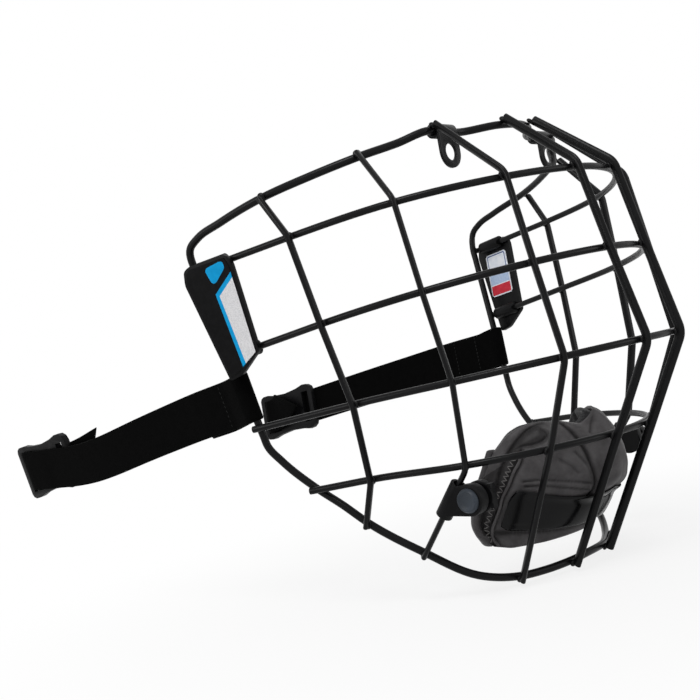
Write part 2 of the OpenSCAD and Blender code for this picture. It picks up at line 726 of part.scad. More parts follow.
liner_gap = fit_gap + 0.05;
band_us = [for (u = cup_us) if (abs(u) <= 0.62) u];
band_vs = [for (v = cup_vs) if (v >= 0.48 && v <= 0.9) v];
module chin_cup() {
    color(charcoal)
        padded_sheet(cup_us, cup_vs, 0, cup_shell_t, channel_depth);
}

module chin_liner() {
    front = cup_shell_t + liner_gap;
    color("#4a4b50")
        padded_sheet(cup_us, cup_vs, front, front + cup_liner_t, 0);
}

module chin_band() {
    color(black_plastic)
        padded_sheet(band_us, band_vs, -band_t - liner_gap, -liner_gap, 0);
}

// An arm: an eye round the stud, and a leg that runs inwards to a seat on the cup's side.
arm_mid = snap_centre.x + arm_x + arm_t / 2;
seat_us = [0.8, 0.9];
seat_vs = [0.38, 0.54];
seat_r = 0.5;
module chin_arm(side) {
    eye_in = arm_mid - arm_t / 2;
    pocket = head_t + 3 * fit_gap;
    color(black_plastic)
        on_side(side)
            difference() {
                union() {
                    across([arm_mid, snap_centre.y, snap_centre.z], arm_t, arm_w / 2);
                    hull() {
                        translate([eye_in - 0.2, snap_centre.y - arm_w / 2 + 0.4, snap_centre.z - arm_w / 2 + 1.4])
                            cube([arm_t - 0.3, 2.2, arm_w - 2.8]);
                        for (u = seat_us, v = seat_vs)
                            translate(cup_point(u, v, -2 * fit_gap - seat_r))
                                cylinder(r = seat_r, h = 1, center = true, $fn = 8);
                    }
                }
                across([arm_mid, snap_centre.y, snap_centre.z], 3 * arm_t, snap_stud_r + pivot_gap);
                across([eye_in - pocket / 2, snap_centre.y, snap_centre.z], pocket, head_r + fit_gap);
            }
}

rim_wire();
cross_wire(0);  // brow_wire
cross_wire(1);  // eye_wire
cross_wire(2);  // nose_wire
cross_wire(3);  // jaw_wire
upright_wire(TEMPLE, RIGHT);  // right_temple_wire
upright_wire(CHEEK, RIGHT);  // right_cheek_wire
upright_wire(EYE, RIGHT);  // right_eye_wire
upright_wire(CENTRE, RIGHT);  // right_centre_wire
upright_wire(TEMPLE, LEFT);  // left_temple_wire
upright_wire(CHEEK, LEFT);  // left_cheek_wire
upright_wire(EYE, LEFT);  // left_eye_wire
upright_wire(CENTRE, LEFT);  // left_centre_wire
helmet_tab(RIGHT);  // right_helmet_tab
helmet_tab(LEFT);  // left_helmet_tab
side_plate(RIGHT);  // right_side_plate
side_plate(LEFT);  // left_side_plate
label(RIGHT);  // right_label
label(LEFT);  // left_label
inner_sticker(LEFT);  // left_inner_sticker
strap(RIGHT, tail_right);  // right_strap
strap(LEFT, tail_left);  // left_strap
buckle(RIGHT);  // right_buckle
buckle(LEFT);  // left_buckle
chin_clip(RIGHT);  // right_chin_clip
chin_clip(LEFT);  // left_chin_clip
snap(RIGHT);  // right_snap
snap(LEFT);  // left_snap
chin_cup();
chin_liner();
chin_band();
chin_arm(RIGHT);  // right_chin_arm
chin_arm(LEFT);  // left_chin_arm
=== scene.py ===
# %% [markdown]
# # Full-face wire cage for a hockey helmet
# The cage is a net of bent steel wires, welded where they cross and coated black. Two plastic
# plates clip to its sides, two webbing straps loop round its edge, and a padded chin cup hangs
# from two snaps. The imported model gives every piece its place. It is loaded first, and every new
# piece is built around it in metres, in the same frame.

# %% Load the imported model
import json
from math import copysign, cos, dist, exp, hypot, pi, radians, sin, sqrt, tan

import bmesh
import bpy
from mathutils import Matrix, Vector
from mathutils.geometry import intersect_line_line
from mathutils.kdtree import KDTree


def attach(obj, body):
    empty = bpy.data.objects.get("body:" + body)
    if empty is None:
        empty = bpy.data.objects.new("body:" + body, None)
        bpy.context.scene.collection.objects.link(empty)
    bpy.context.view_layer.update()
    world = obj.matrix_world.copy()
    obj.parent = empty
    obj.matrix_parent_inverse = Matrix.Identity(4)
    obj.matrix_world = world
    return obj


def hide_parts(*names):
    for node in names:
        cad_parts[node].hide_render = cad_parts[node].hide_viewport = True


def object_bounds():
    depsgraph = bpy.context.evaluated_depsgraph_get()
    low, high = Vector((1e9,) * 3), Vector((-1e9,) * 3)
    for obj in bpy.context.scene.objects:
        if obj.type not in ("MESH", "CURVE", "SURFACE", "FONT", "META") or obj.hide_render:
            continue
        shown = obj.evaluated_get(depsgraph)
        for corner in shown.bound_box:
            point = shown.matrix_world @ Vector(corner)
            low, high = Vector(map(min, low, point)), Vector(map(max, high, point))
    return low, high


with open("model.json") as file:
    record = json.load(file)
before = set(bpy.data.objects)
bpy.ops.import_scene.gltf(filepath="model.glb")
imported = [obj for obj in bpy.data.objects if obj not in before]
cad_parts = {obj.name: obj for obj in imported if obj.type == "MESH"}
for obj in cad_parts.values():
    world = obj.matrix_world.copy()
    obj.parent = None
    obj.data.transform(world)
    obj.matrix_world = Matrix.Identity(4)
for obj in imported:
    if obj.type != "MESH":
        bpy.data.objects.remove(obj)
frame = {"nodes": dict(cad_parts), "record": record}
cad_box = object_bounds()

MM = 0.001
SIDES = {"right": -1, "left": 1}


# %% [markdown]
# Positions in this lesson are written in millimetres, as they are on a drawing. One short
# function turns them into Blender's metres. A second one gives the mirrored point, because the
# cage is the same on both sides and only its left half is written down. A third puts a new
# object in the scene.

# %% Lengths, sides and new objects
def mm(x, y, z):
    return Vector((x, y, z)) * MM


def to_side(point, side):
    return Vector((point.x * side, point.y, point.z))


def add_object(name, data):
    item = bpy.data.objects.new(name, data)
    bpy.context.scene.collection.objects.link(item)
    return item


# %% [markdown]
# ## The camera and the light
# The camera is level and a little behind the front corner of the wearer's right side, and it is
# rolled by almost ten degrees, so the cage seems to nod. Its position and its three axes were
# worked out from the photograph's mirror symmetry. It comes first, so that every later piece can
# be judged through it.

# %% Camera
CAMERA_PLACE = mm(-366.38, -228.34, -65.84)
CAMERA_RIGHT = Vector((0.653703, -0.737059, -0.171511))
CAMERA_UP = Vector((0.113804, -0.128315, 0.985182))
CAMERA_BACK = Vector((-0.748145, -0.663535, 0.0))
LENS_MM, SENSOR_MM = 55.54, 36

camera_data = bpy.data.cameras.new("photo_camera")
camera_data.lens = LENS_MM
camera_data.sensor_width = SENSOR_MM
camera_data.clip_start = 0.01
camera = add_object("photo_camera", camera_data)
turn = Matrix((CAMERA_RIGHT, CAMERA_UP, CAMERA_BACK)).transposed().to_4x4()
camera.matrix_world = Matrix.Translation(CAMERA_PLACE) @ turn
bpy.context.scene.camera = camera
bpy.context.scene.view_settings.view_transform = "Standard"
print("The camera stands at", [round(x, 3) for x in camera.location])


# %% [markdown]
# ## A workshop for materials
# Every finish starts from what the real one is. Colours are written as the hex values that a
# colour picker shows, so one function turns them to the linear values that the shader wants.
# Another adds a node, sets its inputs and links it. A noise node reads Object coordinates, so a
# grain keeps its real size in millimetres on every piece.

# %% Colour and node helpers
def colour(hex_value):
    channels = [int(hex_value[i:i + 2], 16) / 255 for i in (1, 3, 5)]
    linear = [c / 12.92 if c <= 0.04045 else ((c + 0.055) / 1.055) ** 2.4 for c in channels]
    return (*linear, 1.0)


def add_node(tree, kind, settings=None, **inputs):
    """Adds a node. _0 is its first input, and To_Min its input To Min. A socket is linked."""
    node = tree.nodes.new(kind)
    for name, value in (settings or {}).items():
        setattr(node, name, value)
    for name, value in inputs.items():
        key = int(name[1:]) if name[0] == "_" else name.replace("_", " ")
        socket = node.inputs[key]
        if isinstance(value, bpy.types.NodeSocket):
            tree.links.new(value, socket)
        else:
            socket.default_value = value
    return node


def new_finish(name, roughness, ior=1.45, specular=0.5):
    """A material with one Principled shader. Returns the material, its tree and the shader."""
    material = bpy.data.materials.new(name)
    material.use_nodes = True
    tree = material.node_tree
    shader = tree.nodes["Principled BSDF"]
    shader.inputs["Roughness"].default_value = roughness
    shader.inputs["IOR"].default_value = ior
    shader.inputs["Specular IOR Level"].default_value = specular
    return material, tree, shader


def maths(tree, operation, *values):
    """A math node on values or sockets. Returns its output socket."""
    node = add_node(tree, "ShaderNodeMath", {"operation": operation},
        **{f"_{k}": value for k, value in enumerate(values)})
    return node.outputs["Value"]


def object_place(tree):
    return add_node(tree, "ShaderNodeTexCoord").outputs["Object"]


def object_grain(tree, size_mm, detail=2.0):
    """Noise whose grains are about size_mm across, in Object coordinates."""
    return add_node(tree, "ShaderNodeTexNoise", Vector=object_place(tree),
        Scale=1 / (size_mm * MM), Detail=detail, Roughness=0.55).outputs["Fac"]


def ramp(tree, factor, stops):
    """A colour ramp from stops of (position, hex colour)."""
    node = add_node(tree, "ShaderNodeValToRGB", Fac=factor)
    elements = node.color_ramp.elements
    while len(elements) < len(stops):
        elements.new(0.5)
    for element, (position, hex_value) in zip(elements, stops):
        element.position = position
        element.color = colour(hex_value)
    return node.outputs["Color"]


def tint(tree, shader, factor, stops):
    tree.links.new(ramp(tree, factor, stops), shader.inputs["Base Color"])


def bump(tree, shader, height, depth_mm, strength):
    node = add_node(tree, "ShaderNodeBump", Height=height, Strength=strength,
        Distance=depth_mm * MM)
    tree.links.new(node.outputs["Normal"], shader.inputs["Normal"])


def vary_roughness(tree, shader, factor, low, high):
    node = add_node(tree, "ShaderNodeMapRange", Value=factor, To_Min=low, To_Max=high)
    tree.links.new(node.outputs["Result"], shader.inputs["Roughness"])


# %% [markdown]
# The wires are mild steel with a black powder coat. The powder melts into a thick skin with a
# faint orange peel, so its gloss is broken into short soft streaks. It is a plastic skin over the
# metal, so the shader isn't metallic.

# %% Powder coat on steel
def powder_coat():
    material, tree, shader = new_finish("powder_coated_steel", 0.34, 1.5, 0.12)
    peel = object_grain(tree, 1.6)
    wear = object_grain(tree, 14, 3)
    tint(tree, shader, wear, [(0.3, "#0a0a0b"), (0.7, "#101011")])
    vary_roughness(tree, shader, wear, 0.24, 0.38)
    bump(tree, shader, peel, 0.12, 0.35)
    return material


# %% [markdown]
# The plates, clips and buckles are injection moulded nylon and polypropylene, dyed black. A
# mould leaves a fine satin grain, finer than half a millimetre. It is drawn a little coarser than
# life, because the real one wouldn't show in a picture of this size.

# %% Moulded black plastic
def moulded_plastic(name, low, high, rough_low, rough_high, specular=0.08):
    material, tree, shader = new_finish(name, 0.45, 1.49, specular)
    grain = object_grain(tree, 0.6)
    patches = object_grain(tree, 9)
    tint(tree, shader, patches, [(0.35, low), (0.7, high)])
    vary_roughness(tree, shader, patches, rough_low, rough_high)
    bump(tree, shader, grain, 0.05, 0.4)
    return material


wire_black = powder_coat()
plate_black = moulded_plastic("moulded_black_nylon", "#0b0b0c", "#111112", 0.34, 0.48)
clip_black = moulded_plastic("moulded_black_polypropylene", "#0b0b0c", "#121213", 0.38, 0.5)
snap_grey = moulded_plastic("moulded_grey_acetal", "#2a2f35", "#343a42", 0.36, 0.48, 0.2)
print("Finishes so far:", [m.name for m in bpy.data.materials if m.users == 0])


# %% [markdown]
# ## Sweeping a section along a path
# A wire, a strap and a piping are all one section that moves along a path. In bmesh that is a
# ring of edges, extruded and carried to the next place again and again. Each place is a matrix:
# its first axis points outwards, its second sideways and its third ahead. Scaling the matrix
# down over the last few places rounds an end off.

# %% Sweep
def path_place(centre, ahead, out, scale=1.0):
    ahead = ahead.normalized()
    out = (out - ahead * out.dot(ahead)).normalized()
    side = ahead.cross(out)
    turn = Matrix((out, side, ahead)).transposed().to_4x4()
    return Matrix.Translation(centre) @ turn @ Matrix.Diagonal((scale, scale, 1, 1))


def oval_section(half_out, half_side, count):
    return [(half_out * cos(t), half_side * sin(t))
        for t in (2 * pi * k / count for k in range(count))]


def sweep(bm, section, places, closed=False):
    """Carries a closed section along the places and returns its rings of vertices."""
    ring = [bm.verts.new(places[0] @ Vector((x, y, 0))) for x, y in section]
    edges = [bm.edges.new((ring[k], ring[(k + 1) % len(ring)])) for k in range(len(ring))]
    rings, first_edges = [ring], edges
    for before, after in zip(places, places[1:]):
        made = bmesh.ops.extrude_edge_only(bm, edges=edges)["geom"]
        moved = [g for g in made if isinstance(g, bmesh.types.BMVert)]
        bmesh.ops.transform(bm, matrix=after @ before.inverted(), verts=moved)
        partner = {}
        for v in moved:
            for e in v.link_edges:
                other = e.other_vert(v)
                if other in rings[-1]:
                    partner[other] = v
        rings.append([partner[v] for v in rings[-1]])
        edges = [bm.edges.get((rings[-1][k], rings[-1][(k + 1) % len(section)]))
            for k in range(len(section))]
    if closed:
        bmesh.ops.bridge_loops(bm, edges=first_edges + edges)
    else:
        bm.faces.new(rings[0][::-1])
        bm.faces.new(rings[-1])
    return rings


def add_bead(bm, place, half_wide, half_long, fineness):
    bmesh.ops.create_icosphere(bm, subdivisions=fineness, radius=1,
        matrix=place @ Matrix.Diagonal((half_wide, half_wide, half_long, 1)))


def merge(bm, gap):
    bmesh.ops.remove_doubles(bm, verts=bm.verts, dist=gap)


def lay_uv(bm, rings, section):
    """Unrolls a swept piece: U runs round the section and V along the path, both in metres."""
    layer = bm.loops.layers.uv.verify()
    around, total = [0.0], 0.0
    for k in range(len(section)):
        a, b = section[k], section[(k + 1) % len(section)]
        total += hypot(b[0] - a[0], b[1] - a[1])
        around.append(total)
    along, spot = 0.0, {}
    for i, ring in enumerate(rings):
        if i:
            middle = [sum((v.co for v in r), Vector()) / len(r) for r in (rings[i - 1], ring)]
            along += (middle[1] - middle[0]).length
        for k, v in enumerate(ring):
            spot[v] = (around[k], along)
    for face in bm.faces:
        us = [spot[v][0] for v in face.verts]
        wraps = max(us) - min(us) > total / 2
        for loop in face.loops:
            u, v = spot[loop.vert]
            loop[layer].uv = (u + total if wraps and u < total / 2 else u, v)


# %% [markdown]
# A finished piece becomes an object at the origin, with its place in its mesh. Its faces are
# turned outwards, smooth ones are shaded smooth, and edges sharper than about 35 degrees stay
# crisp. Then it is hung on the body it rides on, and the node of the imported model that it stands
# for is hidden.

# %% Finish a piece
BODY_OF = {node: body for body, nodes in frame["record"]["behaviour"]["bodies"].items()
    for node in nodes}
CREASE = radians(35)


def finish_piece(name, bm, materials, replaces=(), body=None, crease=CREASE):
    bmesh.ops.recalc_face_normals(bm, faces=bm.faces)
    mesh = bpy.data.meshes.new(name)
    bm.to_mesh(mesh)
    bm.free()
    for material in materials:
        mesh.materials.append(material)
    mesh.shade_smooth()
    mesh.set_sharp_from_angle(angle=crease)
    piece = add_object(name, mesh)
    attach(piece, body or BODY_OF[replaces[0]])
    if replaces:
        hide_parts(*replaces)
    return piece


# %% [markdown]
# ## The wires
# The rim wire is one closed loop. Its left half is given by points from the top of the mirror
# plane down to its bottom, and a smooth curve runs through them. The tangent at a point leans
# towards its nearer neighbour, which keeps short straight runs straight, as they are at the tabs.
# The cut ends of a rod are rounded off: each pair says how far along, and how wide it is there.

# %% Smooth paths
CUT_ROUND = 0.5 * MM
CUT_SHAPE = ((0.55, 0.95), (0.88, 0.82), (1.0, 0.62))
PATH_STEPS = 8


def heading(points, i, closed=False):
    before = points[(i - 1) % len(points)] if closed else points[max(i - 1, 0)]
    after = points[(i + 1) % len(points)] if closed else points[min(i + 1, len(points) - 1)]
    back, ahead = points[i] - before, after - points[i]
    if back.length == 0:
        return ahead.normalized()
    if ahead.length == 0:
        return back.normalized()
    return (back.normalized() / back.length + ahead.normalized() / ahead.length).normalized()


def smooth_path(points, steps, closed=False):
    path = []
    for i in range(len(points) if closed else len(points) - 1):
        a, b = points[i], points[(i + 1) % len(points)]
        span = (b - a).length
        leave = heading(points, i, closed) * span
        arrive = heading(points, (i + 1) % len(points), closed) * span
        for k in range(steps):
            t = k / steps
            path.append(a * (2 * t ** 3 - 3 * t ** 2 + 1) + leave * (t ** 3 - 2 * t ** 2 + t)
                + b * (3 * t ** 2 - 2 * t ** 3) + arrive * (t ** 3 - t ** 2))
    return path if closed else path + [points[-1]]


def wire_places(path, out, closed=False):
    """Places along a wire. An open wire's cut ends are rounded over the length CUT_ROUND."""
    path = list(path)
    ends = () if closed else ((0, 1), (-1, -2))
    for tip, inner in ends:
        path[tip] = path[tip] + (path[inner] - path[tip]).normalized() * CUT_ROUND
    places = [path_place(p, heading(path, i, closed), out) for i, p in enumerate(path)]
    for tip, inner in ends:
        beyond = (path[tip] - path[inner]).normalized()
        extra = [path_place(path[tip] + beyond * CUT_ROUND * reach, beyond if tip else -beyond,
            out, scale) for reach, scale in CUT_SHAPE]
        places = places + extra if tip else extra[::-1] + places
    return places


# %% [markdown]
# The rim wire and the four horizontal wires are round rod, 3.0 and 2.6 mm thick. They are bent
# in one go on a former, so their bends are long and even.

# %% Rim and horizontal wires
RIM_ROD, RIM_OUT = (1.5 * MM, 1.5 * MM, 20), mm(0.3, -0.2, 1)
CROSS_ROD, CROSS_OUT = (1.3 * MM, 1.3 * MM, 18), Vector((0, 0, 1))
RIM_HALF = [
    (0, -9.5, 9.4), (9.5, -7.5, 9.3), (26.4, 2.2, 8.2), (28, 2.2, 8.2), (42, 2.2, 8.2),
    (42.5, 2.2, 8.2), (54, 9.5, 5), (68, 17.5, 1.6), (79, 31, -2), (88, 48, -6), (92, 68.5, -11),
    (94, 79.5, -14.5), (94.6, 83.8, -17.6), (93.2, 84.8, -26), (92.48, 83.73, -31.64),
    (84.74, 72.2, -92.27), (84.2, 71.4, -96.5), (81.6, 67.8, -103), (76, 58, -114.8),
    (72.6, 49, -122.5), (68.6, 41, -130.7), (59, 25.5, -144), (47, 11.5, -155.8),
    (34, 3.2, -159.6), (24, -1.8, -160), (12.3, -6.6, -159.4), (0, -8, -159)]
CROSS_HALVES = {
    "brow_wire": [(0, -37.5, -13.99), (13.5, -36, -14.15), (42.6, -24.5, -15.38),
        (71.7, 1.5, -18.16), (86, 38.5, -22.12), (89.47, 54.5, -23.8), (95.92, 84.22, -26.92),
        (96.25, 85.77, -27.08)],
    "eye_wire": [(0, -44.5, -44.94), (13.5, -43, -45.13), (42.6, -30, -46.75), (68.7, -2, -50.25),
        (82, 33.8, -54.73), (85.35, 49.19, -56.88), (91.58, 77.76, -60.87),
        (91.92, 79.31, -61.09)],
    "nose_wire": [(0, -52.5, -79.47), (13, -50.8, -79.59), (42, -35.4, -80.69),
        (64.6, -5.2, -82.83), (77, 29.8, -85.32), (80.83, 44.67, -86.67), (87.95, 72.29, -89.19),
        (88.25, 73.45, -89.29)],
    "jaw_wire": [(0, -34.5, -112.21), (13.2, -33, -112.24), (39, -21.2, -112.51), (59.2, 0, -113),
        (71, 33.3, -113.77), (73.7, 41.74, -114.36), (78.71, 57.42, -115.46),
        (79.02, 58.37, -115.52)]}


def both_halves(half, closed=False):
    points = [mm(*p) for p in half]
    mirrored = [to_side(p, -1) for p in points[1:-1 if closed else None]][::-1]
    return points + mirrored if closed else mirrored + points


def add_rod(node, rod, path, out, closed=False):
    """rod is half the rod's depth, half its width and the count of the section's corners."""
    bm = bmesh.new()
    sweep(bm, oval_section(*rod), wire_places(path, out, closed), closed)
    finish_piece(node.replace("wire", "rod"), bm, [wire_black], [node])


rim_path = smooth_path(both_halves(RIM_HALF, True), PATH_STEPS, True)
add_rod("rim_wire", RIM_ROD, rim_path, RIM_OUT, True)
cross_paths = {name: smooth_path(both_halves(half), PATH_STEPS)
    for name, half in CROSS_HALVES.items()}
for name, path in cross_paths.items():
    add_rod(name, CROSS_ROD, path, CROSS_OUT)
print("Rim rod and", len(cross_paths), "horizontal rods")


# %% [markdown]
# The upright wires are rolled oval, 3.6 mm deep and only 2.2 mm wide seen from the front, so
# they hide less of the view. Each is a chain of straight runs with a bend just behind every
# horizontal wire. A quadratic arc replaces each corner.

# %% Upright wires
UPRIGHT_ROD = (1.8 * MM, 1.1 * MM, 20)
BEND, LONGEST_BEND, TOP_TRIM = 8 * MM, 0.45, 1.0 * MM
UPRIGHTS = {
    "temple": ((0.959, -0.265, -0.101), [(91.18, 47.02, -5.58), (89.05, 37.54, -22.16),
        (85.02, 32.97, -55.04), (79.98, 28.84, -85.87), (73.86, 32.22, -114.58),
        (71.7, 40.2, -131.72)]),
    "cheek": ((0.848, -0.529, -0.038), [(70.03, 15.77, 3.64), (74.4, -0.52, -17.24),
        (71.37, -3.67, -50.37), (67.35, -6.76, -83.31), (61.61, -1.89, -114.12),
        (61.61, 23.94, -145.57)]),
    "eye": ((0.568, -0.812, 0.131), [(42.55, 0.13, 10.84), (44.11, -27.32, -13.8),
        (44.39, -32.56, -46.34), (44.02, -38.15, -81.16), (40.65, -23.56, -113.81),
        (35.59, 0.76, -161.26)]),
    "centre": ((0.202, -0.956, 0.215), [(10.2, -9.36, 12), (14.12, -39.01, -12.26),
        (14.14, -46.01, -44.45), (13.69, -54.37, -80.09), (13.78, -35.71, -113.74),
        (12.96, -9.36, -161.19)])}


def bent_path(corners, radius, steps):
    path = [corners[0]]
    for a, b, c in zip(corners, corners[1:], corners[2:]):
        turn = (b - a).angle(c - b)
        longest = LONGEST_BEND * min((b - a).length, (c - b).length)
        reach = min(radius * tan(turn / 2), longest)
        p, q = b - (b - a).normalized() * reach, b + (c - b).normalized() * reach
        path += [p * (1 - t) ** 2 + b * 2 * t * (1 - t) + q * t ** 2
            for t in (k / steps for k in range(steps + 1))]
    return path + [corners[-1]]


upright_paths = {side: {} for side in SIDES.values()}
for hand, side in SIDES.items():
    for post, (out, corners) in UPRIGHTS.items():
        path = bent_path([to_side(mm(*p), side) for p in corners], BEND, PATH_STEPS)
        path[0] += (path[1] - path[0]).normalized() * TOP_TRIM
        upright_paths[side][post] = path
        add_rod(f"{hand}_{post}_wire", UPRIGHT_ROD, path, to_side(Vector(out), side))
print("Upright rods:", 2 * len(UPRIGHTS))


# %% [markdown]
# ## The welds
# Where two wires cross, a resistance welder squeezes them together and the metal melts into a
# small flat bead, which the powder coat rounds off. Each bead is a flattened icosphere between
# the two wires. Its place is found by looking for the nearest points of the two paths. At the
# rim, only the last few points of a wire are looked at.

# %% Weld beads
WELD_WIDE, WELD_THICK = 1.55 * MM, 0.95 * MM
UPRIGHT_TIP, CROSS_TIP = 4, 12


def nearest_points(path_a, path_b):
    """The points where two paths come closest: near both, the paths are as good as straight."""
    _, i, j = min(((a - b).length_squared, i, j)
        for i, a in enumerate(path_a) for j, b in enumerate(path_b))
    i, j = max(1, min(i, len(path_a) - 2)), max(1, min(j, len(path_b) - 2))
    pairs = [intersect_line_line(path_a[i], path_a[i + k], path_b[j], path_b[j + m])
        for k in (-1, 1) for m in (-1, 1)]
    near = (path_a[i] + path_b[j]) / 2
    return min((p for p in pairs if p), key=lambda p: (p[0] + p[1] - 2 * near).length)


bm = bmesh.new()
crossings = []
for side in SIDES.values():
    for post, path in upright_paths[side].items():
        crossings += [nearest_points(path, cross) for cross in cross_paths.values()]
        crossings += [nearest_points(tip, rim_path)
            for tip in (path[:UPRIGHT_TIP], path[-UPRIGHT_TIP:])]
for cross in cross_paths.values():
    crossings += [nearest_points(tip, rim_path) for tip in (cross[:CROSS_TIP], cross[-CROSS_TIP:])]
for outer, inner in crossings:
    place = path_place((outer + inner) / 2, outer - inner, mm(0, 0, 1))
    add_bead(bm, place, WELD_WIDE, WELD_THICK, 2)
finish_piece("weld_beads", bm, [wire_black], body="cage")
print("Weld beads:", len(crossings))


# %% [markdown]
# ## Stamped and moulded parts
# The tabs, plates, buckles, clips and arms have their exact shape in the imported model, but its
# edges are as sharp as a drawing's. Real edges are rounded, and light catches on them. So each
# is copied, its loose triangles are merged into whole faces, and its sharp edges are bevelled.

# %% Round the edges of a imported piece
FLAT, ROUNDED_CORNER, SHARP_EDGE, PART_CREASE = (radians(a) for a in (0.8, 14, 32, 50))
MERGE_FIRST, MERGE_LAST, LONG_EDGE = 0.004 * MM, 0.002 * MM, 1.5 * MM
PARALLEL = 0.999


def bevel_edges(bm, edges, width_mm, segments):
    bmesh.ops.bevel(bm, geom=edges, offset=width_mm * MM, offset_type="OFFSET", affect="EDGES",
        segments=segments, profile=0.5, clamp_overlap=True, material=-1)


def softened(node, material, edge_mm, corners):
    """corners is (direction, radius in mm): long edges along it get that radius first."""
    bm = bmesh.new()
    bm.from_mesh(frame["nodes"][node].data)
    merge(bm, MERGE_FIRST)
    bmesh.ops.dissolve_limit(bm, angle_limit=FLAT, verts=bm.verts, edges=bm.edges)
    if corners:
        along, radius = corners
        bevel_edges(bm, [e for e in bm.edges if len(e.link_faces) == 2
            and abs((e.verts[1].co - e.verts[0].co).normalized().dot(along)) > PARALLEL
            and e.calc_face_angle(0) > ROUNDED_CORNER and e.calc_length() > LONG_EDGE], radius, 4)
    bevel_edges(bm, [e for e in bm.edges
        if len(e.link_faces) == 2 and e.calc_face_angle(0) > SHARP_EDGE], edge_mm, 2)
    merge(bm, MERGE_LAST)
    finish_piece(node + "_part", bm, [material], [node], crease=PART_CREASE)


BROW_SEAT = mm(95.9175, 84.2192, -26.916)
PLATE_AHEAD = Vector((-0.210886, -0.972175, 0.101992))
PLATE_UP = Vector((0.102465, 0.081779, 0.991369))
PLATE_IN = PLATE_AHEAD.cross(PLATE_UP)
PLATE_CORNER = 1.1
PART_EDGES = (("helmet_tab", wire_black, 0.3), ("side_plate", plate_black, 0.4),
    ("buckle", clip_black, 0.5), ("chin_clip", clip_black, 0.6), ("chin_arm", plate_black, 0.7))

for hand, side in SIDES.items():
    for part, material, edge_mm in PART_EDGES:
        corners = (to_side(PLATE_IN, side), PLATE_CORNER) if part == "side_plate" else None
        softened(f"{hand}_{part}", material, edge_mm, corners)
print("Softened two each of the tabs, plates, buckles, clips and arms")


# %% [markdown]
# ## Printed films
# The label on a side plate is a thin polyester film, printed from behind: black, with a pale
# speckled panel, a blue stripe that bends round it and a blue badge. The inner sticker is pale
# with a red band. All the words and marks of the real ones are left off. Each printed field is
# a very thin sheet of its own on the film, so that its edges stay crisp at any distance.

# %% Film finishes
def printed_film(name, low, high, speck_mm, roughness):
    material, tree, shader = new_finish(name, roughness, 1.5, 0.06)
    specks = object_grain(tree, speck_mm, 1)
    tint(tree, shader, specks, [(0.42, low), (0.58, high)])
    bump(tree, shader, object_grain(tree, 6, 1), 0.05, 0.25)
    return material


FILM_INKS = {"black": ("#0a0a0b", "#0e0e0f", 2, 0.3),
    "speckled": ("#cfcfd1", "#e2e1e3", 0.4, 0.34),
    "blue": ("#0e93cc", "#129ad4", 3, 0.3), "white": ("#dfe4ec", "#e8ebf1", 3, 0.3),
    "red": ("#c23340", "#ca3a47", 3, 0.3), "navy": ("#2f4a86", "#34508e", 3, 0.3),
    "light_blue": ("#a9bddb", "#b6c7e0", 0.8, 0.3)}
film = {ink: printed_film(f"polyester_film_{ink}_ink", *look) for ink, look in FILM_INKS.items()}
print("Inks on polyester film:", list(film))


# %% [markdown]
# The outlines of the fields are in millimetres on the plate, ahead and up from the seat of the
# brow wire. The sticker's fields are boxes, most with cut corners, each with its ink and its
# number of coats. A film lies between two depths on the plate's inward axis, and a coat of ink
# adds 0.04 mm.

# %% Labels and sticker
FILM = [(-0.6, -4), (0.6, -0.2), (2.2, 1), (18.7, 1), (19.2, -0.4), (20, -3), (20, -35.63),
    (9.8, -41.23), (6.4, -42.23)]
STRIPE = [(20, -4.8), (10.6, -11), (12.75, -39.55), (14.4, -38.65), (12.2, -12), (20, -6.9)]
PANEL = [(20, -6.9), (12.2, -12), (14.4, -38.65), (20, -35.63)]
BADGE = [(9.3, -1.9), (9.5, -1.2), (10.1, -0.7), (11, -0.45), (16.2, 0.1), (17, 0),
    (17.6, -0.35), (17.9, -1), (17.9, -2.1), (17.7, -2.8), (17.1, -3.4), (12.8, -6.6),
    (12.1, -6.9), (11.3, -6.9), (10.7, -6.5), (10.3, -5.8)]


def cut_box(x0, y0, x1, y1, low=0, top=0):
    """A box whose lower and upper corners are cut off by so much, anticlockwise."""
    return list(dict.fromkeys([(x0, y0 + low), (x0 + low, y0), (x1 - low, y0), (x1, y0 + low),
        (x1, y1 - top), (x1 - top, y1), (x0 + top, y1), (x0, y1 - top)]))


STICKER = cut_box(3.7, -25.8, 18.2, -4.3, 1, 1)
STICKER_FIELDS = [(cut_box(4.3, -25.2, 17.6, -20.4, 0.5), 1, 1),
    (cut_box(4.3, -19.9, 17.6, -13.2), 2, 1), (cut_box(4.6, -12.6, 17.3, -4.9, 0.6, 0.6), 3, 1),
    (cut_box(5.1, -12.1, 16.8, -5.4, 0.3, 0.3), 0, 2)]
LABEL_OUT, LABEL_IN, STICKER_OUT, STICKER_IN = -4.0, -3.7, -1.7, -1.4
INK = 0.04


def print_field(bm, outline, low, high, side, slot):
    """A flat field on a plate, between two heights along the plate's inward axis."""
    corners = [bm.verts.new(to_side(BROW_SEAT
        + (PLATE_AHEAD * x + PLATE_UP * y + PLATE_IN * low) * MM, side)) for x, y in outline]
    face = bm.faces.new(corners)
    face.material_index = slot
    made = bmesh.ops.extrude_face_region(bm, geom=[face], use_keep_orig=True)["geom"]
    moved = [g for g in made if isinstance(g, bmesh.types.BMVert)]
    bmesh.ops.translate(bm, verts=moved, vec=to_side(PLATE_IN * (high - low) * MM, side))
    for f in {f for v in corners + moved for f in v.link_faces}:
        f.material_index = slot


